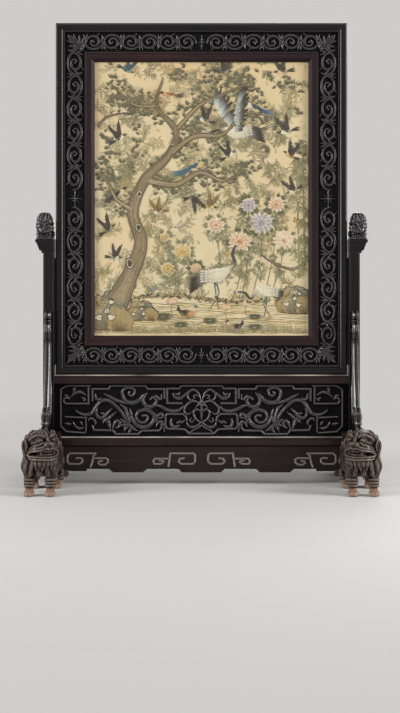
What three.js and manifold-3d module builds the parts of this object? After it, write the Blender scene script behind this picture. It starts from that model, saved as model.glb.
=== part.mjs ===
// A Chinese hardwood screen: a framed silk picture that drops between the grooved posts of a carved stand.
// Millimetres, +Z up, the picture faces -Y, and the origin is on the floor under the middle of the stand.

import * as THREE from "three";
import { mergeVertices } from "three/addons/utils/BufferGeometryUtils.js";
import Module from "manifold-3d";

const wasm = await Module();
wasm.setup();

// Fits
const fit = 0.3; // between pieces that seat on each other
const mitreGap = 0.4; // open joint line at each mitred corner
const sliver = 0.5; // smallest detail kept where rounded forms cross
const slideClearance = 1; // round the tongues that run in the posts' grooves

// Screen: outer size and the widths of its three nested frames
const screenWidth = 730;
const screenHeight = 880;
const mouldingWidth = 24;
const borderWidth = 48;
const sightWidth = 25;
const frameFront = -17;
const frameBack = 16;
const boardTongue = 5; // tongue of a carved border in its neighbours' grooves
const boardTongueThickness = 5;
const borderFace = -10;
const borderBack = 6;
const sightRebate = 12;
const silkFront = -3;
const silkThickness = 2;
const backingThickness = 8;
const beadThickness = 5;
const battenWidth = 42;
const battenThickness = 9;

// Stand
const screenSeat = 270; // height of the rail that the screen rests on
const sideGap = 3.5; // open gap between the screen and each post
const postWidth = 27;
const postDepth = 42;
const postTop = 574;
const grooveDepth = 9;
const grooveWidth = 14;
const astragalHeight = 5;
const plinthHeight = 29;
const plinthOverhang = 19;
const finialHeight = 68;
const finialWidth = 42;
const finialDepth = 48;
const finialBase = 3;
const railDepth = 40;
const upperRailHeight = 23;
const lowerRailHeight = 23;
const carvedPanelHeight = 132;
const panelThickness = 13;
const panelTongue = 5;
const reliefHeight = 5;
const panelBandWidth = 5.5;
const railTenon = 14;
const railTenonWidth = 12;
const tenonShoulder = 3; // from a rail's edge to its tenon
const beadShoulder = 4; // the same on the upper rail's beaded edge
const cutterRun = 50; // how far a cutting block runs past what it cuts

// Feet
const footTop = 128;
const footBlockHalf = 46;
const footBlockWidth = 62;
const footBlockLift = 20; // clear height under the block's arch
const footBlockRound = 14; // radius of its lower corners
const footBlockArch = 12; // radius of the arch cut up into its underside
const lionReach = 246; // from the middle of the stand to the nose
const lionHeight = 155;
const lionWidth = 84;
const lionTenon = 14; // length, width and height of the tenon that holds a lion to its block
const lionTenonWidth = 20;
const lionTenonHeight = 24;
const headTurn = 30; // degrees, towards the middle of the stand

// Spandrels and aprons
const spandrelThickness = 17;
const spandrelHeight = 300;
const spandrelReach = 104;
const apronThickness = 10;
const apronSetback = 8; // from the rail's face to the middle of an apron's top edge
const apronDrop = 66;
const apronLean = 30; // degrees off upright
const apronEnd = 8; // from each end of an apron to the foot block beside it
const apronBandWidth = 5.5;
const apronRelief = 2.2;

const postInner = screenWidth / 2 + sideGap;
const postCentre = postInner + postWidth / 2;
const blockInner = postCentre - footBlockWidth / 2;
const apronHalf = blockInner - apronEnd;
const frameBottom = screenSeat + fit;
const spandrelFootEnd = postDepth / 2 + fit + spandrelReach; // from the middle of the stand
const panelTop = screenSeat - upperRailHeight;
const panelBottom = panelTop - carvedPanelHeight;
const lowerRailBottom = panelBottom - lowerRailHeight;

const wood = (color, roughness) => new THREE.MeshStandardMaterial({ color, roughness, metalness: 0 });
const rosewood = wood("#1c1618", 0.35);
const rosewoodWarm = wood("#2e1a18", 0.35);
const lionWood = wood("#4a4038", 0.5);
const pineWood = wood("#6b5138", 0.8);
const silk = wood("#c9b88f", 0.7);

const part = new THREE.Group();

function piece(name, geometry, material, parent = part) {
  const mesh = new THREE.Mesh(geometry, material);
  mesh.name = name;
  parent.add(mesh);
  return mesh;
}

// Solids for joining and cutting

function toSolid(geometry) {
  const bare = geometry.clone();
  bare.deleteAttribute("normal");
  bare.deleteAttribute("uv");
  const merged = mergeVertices(bare, 1e-4);
  const mesh = new wasm.Mesh({
    numProp: 3,
    vertProperties: new Float32Array(merged.attributes.position.array),
    triVerts: new Uint32Array(merged.index.array),
  });
  return new wasm.Manifold(mesh);
}

function toGeometry(solid) {
  const mesh = solid.getMesh();
  const geometry = new THREE.BufferGeometry();
  const positions = new Float32Array(mesh.numVert * 3);
  for (let i = 0; i < mesh.numVert; i++) {
    for (let k = 0; k < 3; k++) {
      positions[3 * i + k] = mesh.vertProperties[mesh.numProp * i + k];
    }
  }
  geometry.setAttribute("position", new THREE.BufferAttribute(positions, 3));
  geometry.setIndex(new THREE.BufferAttribute(new Uint32Array(mesh.triVerts), 1));
  return geometry;
}

const join = (geometries) => toGeometry(geometries.map(toSolid).reduce((a, b) => a.add(b)));

// Joins rounded forms and drops the slivers that their crossings leave.
const blend = (geometries) =>
  toGeometry(geometries.map(toSolid).reduce((a, b) => a.add(b)).simplify(sliver));

const cut = (geometry, tools) =>
  toGeometry(tools.map(toSolid).reduce((a, b) => a.subtract(b), toSolid(geometry)));

// A box from its lowest to its highest corner.
function block([x0, y0, z0], [x1, y1, z1]) {
  const box = new THREE.BoxGeometry(x1 - x0, y1 - y0, z1 - z0);
  return box.translate((x0 + x1) / 2, (y0 + y1) / 2, (z0 + z1) / 2);
}

const outline = (points) => new THREE.Shape(points.map(([a, b]) => new THREE.Vector2(a, b)));

const alongX = new THREE.Matrix4().set(0, 0, 1, 0, 1, 0, 0, 0, 0, 1, 0, 0, 0, 0, 0, 1);

// A (y, z) section swept along X from x0 to x1.
function sweepX(points, x0, x1) {
  const swept = new THREE.ExtrudeGeometry(outline(points), { depth: x1 - x0, bevelEnabled: false });
  return swept.applyMatrix4(alongX).translate(x0, 0, 0);
}

// An (x, z) outline as a board between the depths y0 and y1.
function boardY(points, y0, y1) {
  const swept = new THREE.ExtrudeGeometry(outline(points), { depth: y1 - y0, bevelEnabled: false });
  return swept.rotateX(Math.PI / 2).translate(0, y1, 0);
}

// An (x, y) section standing from z0 to z1.
function sweepZ(points, z0, z1) {
  const swept = new THREE.ExtrudeGeometry(outline(points), { depth: z1 - z0, bevelEnabled: false });
  return swept.translate(0, 0, z0);
}

// Points on an arc, angles in degrees.
function arc(cx, cy, radius, from, to, steps) {
  return Array.from({ length: steps + 1 }, (_, i) => {
    const angle = THREE.MathUtils.degToRad(from + ((to - from) * i) / steps);
    return [cx + radius * Math.cos(angle), cy + radius * Math.sin(angle)];
  });
}

// Frames: a section in u, inwards from the outer edge, and v, the depth, with both ends mitred

function mitredMember(section, length) {
  const shape = outline(section.map(([u, v]) => [v, -u]));
  const geometry = new THREE.ExtrudeGeometry(shape, { depth: 1, bevelEnabled: false });
  const position = geometry.attributes.position;
  for (let i = 0; i < position.count; i++) {
    const v = position.getX(i);
    const u = -position.getY(i);
    const end = position.getZ(i) > 0.5 ? 1 : -1;
    position.setXYZ(i, end * (length / 2 - u - mitreGap / 2), v, -u);
  }
  return geometry;
}

// Four mitred members round a rectangle of the given outer size, whose middle is at height centreZ.
function mitredFrame(name, section, width, height, centreZ, material, parent, extras = {}) {
  const sides = [
    ["top", width, 0, [0, height / 2]],
    ["bottom", width, Math.PI, [0, -height / 2]],
    ["left", height, -Math.PI / 2, [-width / 2, 0]],
    ["right", height, Math.PI / 2, [width / 2, 0]],
  ];
  for (const [side, length, turn, [x, z]] of sides) {
    const geometry = mitredMember(section, length);
    geometry.rotateY(turn).translate(x, 0, z + centreZ);
    piece(`${name}_${side}`, extras[side] ? extras[side](geometry) : geometry, material, parent);
  }
}

const tongueY0 = (borderFace + borderBack - boardTongueThickness) / 2;
const tongueY1 = tongueY0 + boardTongueThickness;

function mouldingSection() {
  const edge = 6;
  const bead = 3;
  return [
    [0, frameBack],
    ...arc(edge, frameFront + edge, edge, 180, 270, 4),
    [mouldingWidth - 2 * bead - 2, frameFront],
    [mouldingWidth - 2 * bead, frameFront + 1.5],
    ...arc(mouldingWidth - bead, frameFront + bead, bead, 200, 360, 4),
    [mouldingWidth, tongueY0 - fit],
    [mouldingWidth - boardTongue - fit, tongueY0 - fit],
    [mouldingWidth - boardTongue - fit, tongueY1 + fit],
    [mouldingWidth, tongueY1 + fit],
    [mouldingWidth, frameBack],
  ];
}

function borderSection() {
  const u0 = fit;
  const u1 = borderWidth - fit;
  return [
    [u0, borderFace],
    [u1, borderFace],
    [u1, tongueY0],
    [u1 + boardTongue, tongueY0],
    [u1 + boardTongue, tongueY1],
    [u1, tongueY1],
    [u1, borderBack],
    [u0, borderBack],
    [u0, tongueY1],
    [u0 - boardTongue, tongueY1],
    [u0 - boardTongue, tongueY0],
    [u0, tongueY0],
  ];
}

function sightSection() {
  const bead = 2.5;
  const flatFace = frameFront + 4;
  const lipFace = silkFront - 4;
  const lip = silkFront - fit;
  return [
    [0, tongueY0 - fit],
    [0, frameFront + 2 + bead],
    ...arc(bead, frameFront + 2 + bead, bead, 200, 340, 4),
    [2 * bead, flatFace],
    [sightWidth - 8, flatFace],
    [sightWidth - 2, lipFace],
    [sightWidth, lipFace + 2],
    [sightWidth, lip],
    [sightWidth - sightRebate, lip],
    [sightWidth - sightRebate, frameBack],
    [0, frameBack],
    [0, tongueY1 + fit],
    [boardTongue + fit, tongueY1 + fit],
    [boardTongue + fit, tongueY0 - fit],
  ];
}

// Screen

const screen = new THREE.Group();
part.add(screen);
const screenCentre = frameBottom + screenHeight / 2;
const tongueHeight = postTop - screenSeat - 12;

// A stile's lower part carries the tongue that runs in its post's groove.
function withSideTongue(side) {
  const reach = sideGap + grooveDepth - slideClearance;
  const half = grooveWidth / 2 - slideClearance;
  const x0 = side * (screenWidth / 2 - 2);
  const x1 = side * (screenWidth / 2 + reach);
  const tongue = block(
    [Math.min(x0, x1), -half, frameBottom + mouldingWidth],
    [Math.max(x0, x1), half, frameBottom + tongueHeight],
  );
  return (geometry) => join([geometry, tongue]);
}

mitredFrame(
  "moulding", mouldingSection(), screenWidth, screenHeight, screenCentre, rosewood, screen,
  { left: withSideTongue(-1), right: withSideTongue(1) },
);

const borderOuterWidth = screenWidth - 2 * mouldingWidth;
const borderOuterHeight = screenHeight - 2 * mouldingWidth;

// A flat band of varying width along an (x, z) line, between two depths.
function ribbon(line, widthStart, widthEnd, y0, y1) {
  const left = [];
  const right = [];
  line.forEach(([x, z], i) => {
    const [ax, az] = line[Math.max(0, i - 1)];
    const [bx, bz] = line[Math.min(line.length - 1, i + 1)];
    const run = Math.hypot(bx - ax, bz - az);
    const half = (widthStart + ((widthEnd - widthStart) * i) / (line.length - 1)) / 2;
    const nx = (-(bz - az) / run) * half;
    const nz = ((bx - ax) / run) * half;
    left.push([x + nx, z + nz]);
    right.unshift([x - nx, z - nz]);
  });
  return boardY([...left, ...right], y0, y1);
}

mitredFrame(
  "carved_border", borderSection(), borderOuterWidth, borderOuterHeight, screenCentre, rosewood, screen,
);

const sightOuterWidth = borderOuterWidth - 2 * borderWidth;
const sightOuterHeight = borderOuterHeight - 2 * borderWidth;
mitredFrame(
  "sight_frame", sightSection(), sightOuterWidth, sightOuterHeight, screenCentre, rosewoodWarm, screen,
);

// What the sight frame's rebate holds, from the front: silk, backing board, retaining beads, battens
const rebateHalfWidth = sightOuterWidth / 2 - (sightWidth - sightRebate) - fit;
const rebateHalfHeight = sightOuterHeight / 2 - (sightWidth - sightRebate) - fit;

function rebateBoard(y0, y1) {
  return block(
    [-rebateHalfWidth, y0, screenCentre - rebateHalfHeight],
    [rebateHalfWidth, y1, screenCentre + rebateHalfHeight],
  );
}

const backingFront = silkFront + silkThickness + fit;
const backingBack = backingFront + backingThickness;
const beadBack = backingBack + fit + beadThickness;
piece("silk_picture", rebateBoard(silkFront, silkFront + silkThickness), silk, screen);
piece("backing_board", rebateBoard(backingFront, backingBack), pineWood, screen);
mitredFrame(
  "retaining_bead",
  [[0, backingBack + fit], [10, backingBack + fit], [10, beadBack - 2], [8, beadBack], [0, beadBack]],
  2 * rebateHalfWidth, 2 * rebateHalfHeight, screenCentre, rosewoodWarm, screen,
);
for (const [name, level] of [["upper", 0.25], ["lower", -0.25]]) {
  const z = screenCentre + level * screenHeight;
  const half = rebateHalfWidth - 10 - mitreGap;
  const y0 = backingBack + fit;
  const section = [
    [y0, z - battenWidth / 2],
    [y0, z + battenWidth / 2],
    [y0 + battenThickness - 2, z + battenWidth / 2],
    [y0 + battenThickness, z + battenWidth / 2 - 2],
    [y0 + battenThickness, z - battenWidth / 2 + 2],
    [y0 + battenThickness - 2, z - battenWidth / 2],
  ];
  piece(`backing_batten_${name}`, sweepX(section, -half, half), pineWood, screen);
}

// Stand

const stand = new THREE.Group();
part.add(stand);

// Builds one side of the stand facing +X; the other side is its mirror image.
function side(name, sign) {
  const group = new THREE.Group();
  group.scale.x = sign;
  stand.add(group);
  const add = (what, geometry, material) => piece(`${what}_${name}`, geometry, material, group);
  add("post", postGeometry(), rosewood);
  add("plinth", plinthGeometry(), rosewood);
  add("finial_lion", finialGeometry(), rosewood);
  add("foot_block", footBlockGeometry(), lionWood);
  for (const [end, flip] of [["front", 1], ["rear", -1]]) {
    const half = new THREE.Group();
    half.scale.y = flip;
    group.add(half);
    piece(`spandrel_${end}_${name}`, spandrelGeometry(), rosewood, half);
    piece(`foot_lion_${end}_${name}`, footLionGeometry(), lionWood, half);
  }
}

const slideSlot = (z0, z1) =>
  block([postInner - cutterRun, -grooveWidth / 2, z0], [postInner + grooveDepth, grooveWidth / 2, z1]);

const postTenonHalf = 12; // half its depth and half its width
const postTenonHalfWidth = 7;
const postTenonLength = 26;

function postGeometry() {
  const y = postDepth / 2;
  const bead = 3;
  const faceDrop = 1.5;
  const front = [
    [postInner, -y + 1],
    [postInner + 1, -y],
    [postInner + bead, -y],
    [postInner + bead + 1, -y + faceDrop],
    [postInner + postWidth - bead - 1, -y + faceDrop],
    [postInner + postWidth - bead, -y],
    [postInner + postWidth - 1, -y],
    [postInner + postWidth, -y + 1],
  ];
  const back = front.map(([px, py]) => [px, -py]).reverse();
  const shaft = sweepZ([...front, ...back], footTop + fit, postTop);
  const tenon = block(
    [postCentre - postTenonHalfWidth, -postTenonHalf, footTop + fit - postTenonLength],
    [postCentre + postTenonHalfWidth, postTenonHalf, footTop + 2],
  );
  const mortise = (z0, z1) =>
    block(
      [postInner - 1, -railTenonWidth / 2 - fit, z0 - fit],
      [postInner + railTenon + fit, railTenonWidth / 2 + fit, z1 + fit],
    );
  return cut(join([shaft, tenon]), [
    slideSlot(screenSeat, postTop + 1),
    mortise(panelTop + tenonShoulder, screenSeat - beadShoulder),
  ]);
}

function plinthGeometry() {
  const y = postDepth / 2;
  const z0 = postTop + fit;
  const z1 = z0 + astragalHeight;
  const top = z1 + plinthHeight;
  const x0 = postInner;
  const section = [
    [x0, z0],
    [postInner + postWidth + 3, z0],
    [postInner + postWidth + 5, z0 + astragalHeight / 2],
    [postInner + postWidth + 3, z1],
    [postInner + postWidth + 9, z1 + 2],
    [postInner + postWidth + plinthOverhang - 3, top - 8],
    [postInner + postWidth + plinthOverhang, top - 6],
    [postInner + postWidth + plinthOverhang, top],
    [x0, top],
  ];
  const body = boardY(section, -y - 8, y + 8);
  // The depth tapers like the width: a wedge comes off the front and one off the back.
  const wedge = [
    [-y - 9, z0 - 1],
    [-y - 3, z0 - 1],
    [-y - 3, z1],
    [-y - 7.5, top - 8],
    [-y - 9, top - 8],
  ];
  const wedges = [wedge, wedge.map(([py, pz]) => [-py, pz])];
  return cut(body, [
    ...wedges.map((w) => sweepX(w, postInner - 5, postInner + 80)),
    slideSlot(z0 - 1, top + 1),
  ]);
}

// Ellipsoid with its poles on Z.
function blob([x, y, z], [rx, ry, rz], around = 7, up = 4) {
  return new THREE.SphereGeometry(1, around, up).rotateX(Math.PI / 2).scale(rx, ry, rz).translate(x, y, z);
}

// Tapered limb between two points.
function limb(from, to, radiusFrom, radiusTo, sides = 5) {
  const a = new THREE.Vector3(...from);
  const b = new THREE.Vector3(...to);
  const axis = b.clone().sub(a);
  const cone = new THREE.CylinderGeometry(radiusTo, radiusFrom, axis.length(), sides);
  const turn = new THREE.Quaternion().setFromUnitVectors(new THREE.Vector3(0, 1, 0), axis.clone().normalize());
  const middle = a.add(b).multiplyScalar(0.5);
  return cone.applyQuaternion(turn).translate(middle.x, middle.y, middle.z);
}

const pair = (make) => [make(-1), make(1)];

// Lion crouched on a plinth, its near side cut back to clear the sliding frame. Places and sizes are
// shares of its width, depth and height.
function finialGeometry() {
  const x = postInner + (postWidth + plinthOverhang) / 2 + 1;
  const z = postTop + 2 * fit + astragalHeight + plinthHeight;
  const scaled = ([across, along, up]) => [across * finialWidth, along * finialDepth, up * finialHeight];
  const form = (place, radii, around = 7, up = 4) => blob(scaled(place), scaled(radii), around, up);
  const curlRing = [0, 1, 2, 3, 4].map((i) => {
    const angle = Math.PI * (0.1 + 0.2 * i);
    return form([0.31 * Math.cos(angle), 0.08, 0.7 + 0.2 * Math.sin(angle)], [0.17, 0.15, 0.1], 6, 4);
  });
  const parts = [
    block([-finialWidth / 2, -finialDepth / 2, 0], [finialWidth / 2, finialDepth / 2, finialBase]),
    form([0, 0.17, 0.36], [0.42, 0.36, 0.36]),
    form([0, -0.1, 0.66], [0.46, 0.38, 0.31], 8, 6),
    form([0, -0.4, 0.5], [0.32, 0.17, 0.13], 6, 4),
    form([0, 0.44, 0.44], [0.16, 0.13, 0.34], 6, 4),
    ...pair((s) => limb(scaled([s * 0.32, -0.3, 0]), scaled([s * 0.32, -0.18, 0.5]), 6, 7)),
    ...pair((s) => form([s * 0.33, -0.38, 0.06], [0.17, 0.16, 0.08], 5, 4)),
    ...pair((s) => form([s * 0.34, 0.2, 0.18], [0.19, 0.28, 0.18], 5, 4)),
    ...curlRing,
  ];
  const lion = blend(parts).translate(x, 0, z);
  const deep = finialDepth + cutterRun;
  const under = block([x - finialWidth, -deep, z - cutterRun], [x + finialWidth, deep, z]);
  const near = block([x - finialWidth, -deep, z - cutterRun], [postInner + fit, deep, z + 2 * finialHeight]);
  return cut(lion, [under, near, slideSlot(z - 1, z + finialHeight + 1)]);
}

const lionTenonLow = 0.465 * lionHeight - lionTenonHeight / 2;

// Block under a post: rounded lower corners and an arch between them.
function footBlockGeometry() {
  const half = footBlockHalf;
  const round = footBlockRound;
  const arch = footBlockArch;
  const arched = footBlockLift - 2;
  const sole = footBlockLift - 2;
  const side = [
    [-half, footTop],
    [-half, sole + round],
    ...arc(-half + round, sole + round, round, 180, 270, 4),
    [-arch, sole],
    ...arc(0, arched, arch, 180, 0, 6),
    [arch, sole],
    ...arc(half - round, sole + round, round, 270, 360, 4),
    [half, sole + round],
    [half, footTop],
  ];
  const x0 = blockInner;
  const x1 = blockInner + footBlockWidth;
  const post = postTenonHalfWidth + fit;
  const postMortise = block(
    [postCentre - post, -postTenonHalf - fit, footTop - postTenonLength - 1],
    [postCentre + post, postTenonHalf + fit, footTop + 1],
  );
  const railMortise = block(
    [x0 - 1, -railTenonWidth / 2 - fit, lowerRailBottom + tenonShoulder - fit],
    [x0 + railTenon + fit, railTenonWidth / 2 + fit, panelBottom - tenonShoulder + fit],
  );
  const wide = lionTenonWidth / 2 + fit;
  const lionMortise = block(
    [postCentre - wide, -half - 1, lionTenonLow - fit],
    [postCentre + wide, -half + lionTenon + fit, lionTenonLow + lionTenonHeight + fit],
  );
  const opposite = lionMortise.clone().rotateZ(Math.PI).translate(2 * postCentre, 0, 0);
  return cut(sweepX(side, x0, x1), [postMortise, railMortise, lionMortise, opposite]);
}

// Lion of a foot, facing -Y, with its rump against the foot block. Places and sizes are shares of the
// lion's width, of its length from the block to the nose, and of its height; the head's are shares of
// the height alone.
function footLionGeometry() {
  const length = lionReach - footBlockHalf;
  const spot = ([across, along, up]) => [across * lionWidth, -footBlockHalf - along * length, up * lionHeight];
  const form = (place, [rx, ry, rz], around = 7, up = 4) =>
    blob(spot(place), [rx * lionWidth, ry * length, rz * lionHeight], around, up);
  const leg = (from, to, radiusFrom, radiusTo) =>
    limb(spot(from), spot(to), radiusFrom * lionHeight, radiusTo * lionHeight);
  const headCentre = spot([0, 0.75, 0.761]);
  const turn = THREE.MathUtils.degToRad(-headTurn);
  const onHead = (place, radii, around = 7, up = 4) => {
    const inMillimetres = (shares) => shares.map((share) => share * lionHeight);
    return blob(inMillimetres(place), inMillimetres(radii), around, up).rotateZ(turn).translate(...headCentre);
  };
  const halfTenon = lionTenonWidth / 2;
  const parts = [
    form([0, 0.36, 0.542], [0.44, 0.43, 0.31], 8, 5),
    form([0, 0.7, 0.542], [0.5, 0.2, 0.335], 8, 5),
    onHead([0, 0, 0], [0.245, 0.245, 0.232], 8, 5),
    onHead([0, -0.22, -0.026], [0.161, 0.11, 0.077]),
    onHead([0, -0.194, -0.168], [0.161, 0.116, 0.052]),
    ...pair((s) => onHead([s * 0.245, 0.026, -0.013], [0.045, 0.084, 0.11], 6, 4)),
    ...pair((s) => onHead([s * 0.097, -0.194, 0.103], [0.058, 0.052, 0.045], 6, 4)),
    ...pair((s) => leg([s * 0.298, 0.81, 0.09], [s * 0.286, 0.75, 0.387], 0.065, 0.103)),
    ...pair((s) => form([s * 0.298, 0.82, 0.194], [0.179, 0.075, 0.052], 5, 4)),
    ...pair((s) => form([s * 0.31, 0.85, 0.058], [0.179, 0.1, 0.071])),
    ...pair((s) => form([s * 0.345, 0.19, 0.387], [0.202, 0.18, 0.271])),
    ...pair((s) => leg([s * 0.333, 0.27, 0.065], [s * 0.333, 0.19, 0.323], 0.065, 0.09)),
    ...pair((s) => form([s * 0.333, 0.31, 0.058], [0.167, 0.11, 0.071])),
    block(
      [-halfTenon, -footBlockHalf - lionTenon, lionTenonLow],
      [halfTenon, -footBlockHalf + lionTenon, lionTenonLow + lionTenonHeight],
    ),
  ];
  const lion = blend(parts);
  // The floor, the block round the tenon and the spandrel's foot each cut the lion back
  const behind = -footBlockHalf - fit;
  const wide = lionWidth + cutterRun;
  const high = lionHeight + cutterRun;
  const housing = spandrelThickness / 2 + 1;
  const tools = [
    block([-wide, -lionReach - cutterRun, -cutterRun], [wide, cutterRun, 0]),
    block([-wide, behind, lionTenonLow + lionTenonHeight], [wide, cutterRun, high]),
    block([-wide, behind, -cutterRun], [wide, cutterRun, lionTenonLow]),
    block([-wide, behind, -cutterRun], [-halfTenon, cutterRun, high]),
    block([halfTenon, behind, -cutterRun], [wide, cutterRun, high]),
    block([-housing, -spandrelFootEnd - 1, footTop], [housing, cutterRun, high]),
  ];
  return cut(lion, tools).translate(postCentre, 0, 0);
}

// Standing spandrel that braces the post: a long hollow curve between two scrolls. Places are shares of
// its reach and height; the scrolls' radii are its own.
function spandrelGeometry() {
  const y0 = -postDepth / 2 - fit;
  const z0 = footTop + fit;
  const at = ([out, up]) => [y0 - out * spandrelReach, z0 + up * spandrelHeight];
  const scroll = (place, radius, from, to, steps) => arc(...at(place), radius, from, to, steps);
  const hollow = [[0.13, 0.74], [0.14, 0.65], [0.175, 0.53], [0.25, 0.39], [0.34, 0.29], [0.4, 0.225]];
  const edge = new THREE.SplineCurve(hollow.map((place) => new THREE.Vector2(...at(place)))).getPoints(12);
  const side = [
    at([0, 0]),
    at([0, 1]),
    ...scroll([0.09, 0.965], 8, 60, 235, 4),
    ...scroll([0.12, 0.84], 12.5, 105, 245, 5),
    ...edge.map((p) => [p.x, p.y]),
    ...scroll([0.56, 0.155], 14, 80, 235, 5),
    ...scroll([0.86, 0.02], 14.5, 110, 176, 3),
    at([1, 0]),
  ];
  const half = spandrelThickness / 2;
  return sweepX(side, postCentre - half, postCentre + half);
}

side("right", 1);
side("left", -1);

// Rails with a bead along each front and back edge, tenoned at both ends.
function railGeometry(z0, z1, half, tenonZ0, tenonZ1, grooves) {
  const y = railDepth / 2;
  const bead = 2.5;
  const section = [
    [-y + 2, z0],
    [-y, z0 + 2],
    [-y, z1 - 2 * bead - 1.5],
    [-y + 1.5, z1 - 2 * bead],
    ...arc(-y + bead, z1 - bead, bead, 210, 90, 4),
    ...arc(y - bead, z1 - bead, bead, 90, -30, 4),
    [y - 1.5, z1 - 2 * bead],
    [y, z1 - 2 * bead - 1.5],
    [y, z0 + 2],
    [y - 2, z0],
  ];
  const bar = sweepX(section, -half, half);
  const tenon = block(
    [-half - railTenon, -railTenonWidth / 2, tenonZ0],
    [half + railTenon, railTenonWidth / 2, tenonZ1],
  );
  return cut(join([bar, tenon]), grooves);
}

const panelFace = -6;
const panelHalf = postInner - fit;
const panelGroove = (z0, z1) =>
  block(
    [-panelHalf - cutterRun, panelFace - fit, z0],
    [panelHalf + cutterRun, panelFace + panelThickness + fit, z1],
  );

piece(
  "upper_rail",
  railGeometry(
    panelTop, screenSeat, postInner - fit, panelTop + tenonShoulder, screenSeat - beadShoulder,
    [panelGroove(panelTop - 1, panelTop + panelTongue + fit)],
  ),
  rosewoodWarm,
  stand,
);
piece(
  "lower_rail",
  railGeometry(
    lowerRailBottom, panelBottom, blockInner - fit,
    lowerRailBottom + tenonShoulder, panelBottom - tenonShoulder,
    [panelGroove(panelBottom - panelTongue - fit, panelBottom + 1)],
  ),
  rosewoodWarm,
  stand,
);

// Carved panel

const mirrored = (line) => line.map(([x, z]) => [-x, z]);

// Spiral about a centre, angles in degrees.
function spiral(cx, cz, r0, r1, from, to, steps) {
  return Array.from({ length: steps + 1 }, (_, i) => {
    const t = i / steps;
    const angle = THREE.MathUtils.degToRad(from + (to - from) * t);
    const r = r0 + (r1 - r0) * t;
    return [cx + r * Math.cos(angle), cz + r * Math.sin(angle)];
  });
}

const curve = (points, steps) =>
  new THREE.SplineCurve(points.map(([x, z]) => new THREE.Vector2(x, z)))
    .getPoints(steps)
    .map((p) => [p.x, p.y]);

// Right half of the panel's relief: stepped frets that frame its compartments, then the vines and
// scrolls inside them. Places are shares of the panel's half width and half height.
function panelBands() {
  const frets = [
    [[0, 0.92], [0.136, 0.92], [0.152, 0.82], [0.234, 0.82], [0.234, 0.26], [0.136, 0.26]],
    [
      [0.253, 0.45], [0.253, 0.8], [0.367, 0.8], [0.38, 0.92], [0.619, 0.92], [0.63, 0.8],
      [0.741, 0.8], [0.741, 0.36],
    ],
    [[0.769, 0.91], [0.769, 0.24], [0.926, 0.24], [0.94, 0.33], [0.915, 0.45]],
    [
      [0.79, 0.92], [0.918, 0.92], [0.959, 0.79], [0.959, -0.61], [0.921, -0.82], [0.796, -0.86],
      [0.788, -0.29], [0.926, -0.26],
    ],
    [
      [0, -0.89], [0.084, -0.89], [0.114, -0.73], [0.228, -0.71], [0.244, -0.62], [0.244, -0.23],
      [0.128, -0.15], [0.1, -0.39],
    ],
    [
      [0.274, -0.45], [0.272, -0.67], [0.288, -0.77], [0.407, -0.79], [0.429, -0.91], [0.584, -0.91],
      [0.603, -0.77], [0.733, -0.76],
    ],
  ];
  const vines = [
    curve([[0.875, 0.06], [0.777, -0.18], [0.717, 0.21], [0.687, 0.42]], 8),
    curve([[0.717, 0.21], [0.652, 0.35], [0.576, 0.2], [0.521, -0.24]], 7),
    curve([[0.394, 0.59], [0.467, 0.26], [0.538, 0.35], [0.535, 0.71], [0.5, 0.76]], 9),
    curve([[0.328, 0.03], [0.261, 0.06], [0.179, -0.08], [0.114, 0.21]], 7),
    curve([[0.32, 0.45], [0.35, 0.12], [0.396, 0.38]], 6),
    curve([[0.581, 0.2], [0.652, 0.02], [0.679, -0.15]], 4),
    curve([[0.56, -0.06], [0.608, -0.33], [0.614, -0.42]], 4),
    curve([[0.532, -0.39], [0.595, -0.61], [0.641, -0.52], [0.63, -0.36]], 6),
    curve([[0.804, 0.47], [0.842, 0.61], [0.907, 0.38]], 5),
    curve([[0.81, -0.62], [0.875, -0.64], [0.885, -0.47]], 5),
    curve([[0.08, 0.77], [0.13, 0.5], [0.2, 0.51]], 5),
    curve([[0, 0.3], [0.054, 0.77], [0.095, 0.5], [0.05, 0.44]], 8),
    curve([[0, 0.09], [0.065, 0.33], [0.117, 0.06], [0.068, -0.08]], 8),
    curve([[0, -0.06], [0.054, -0.09], [0.011, -0.45]], 6),
    curve([[0.005, -0.47], [0.065, -0.65], [0.103, -0.39]], 6),
  ];
  return [...frets, ...vines];
}

const scrollTurns = 440; // degrees, of the great scroll between the vines

function carvedPanelGeometry() {
  const z0 = panelBottom - panelTongue;
  const z1 = panelTop + panelTongue;
  const halfHeight = carvedPanelHeight / 2;
  const board = block([-panelHalf, panelFace, z0], [panelHalf, panelFace + panelThickness, z1]);
  const drawn = panelBands().map((line) => line.map(([u, v]) => [u * panelHalf, v * halfHeight]));
  const eye = [0.397 * panelHalf, -0.27 * halfHeight];
  const scroll = spiral(...eye, 0.38 * halfHeight, 0.08 * halfHeight, 20, 20 + scrollTurns, 16);
  const relief = [...drawn, scroll].flatMap((line) =>
    [line, mirrored(line)].map((half) =>
      ribbon(half, panelBandWidth, panelBandWidth, panelFace - reliefHeight, panelFace + 1),
    ),
  );
  const middle = (panelBottom + panelTop) / 2;
  const raised = relief.map((band) => band.translate(0, 0, middle));
  const notches = pair((s) =>
    block(
      [Math.min(s * (blockInner - fit), s * (panelHalf + cutterRun)), panelFace - cutterRun, z0 - 1],
      [Math.max(s * (blockInner - fit), s * (panelHalf + cutterRun)), panelFace + cutterRun, footTop + fit],
    ),
  );
  return cut(join([board, ...raised]), notches);
}

piece("carved_panel", carvedPanelGeometry(), rosewood, stand);

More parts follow.
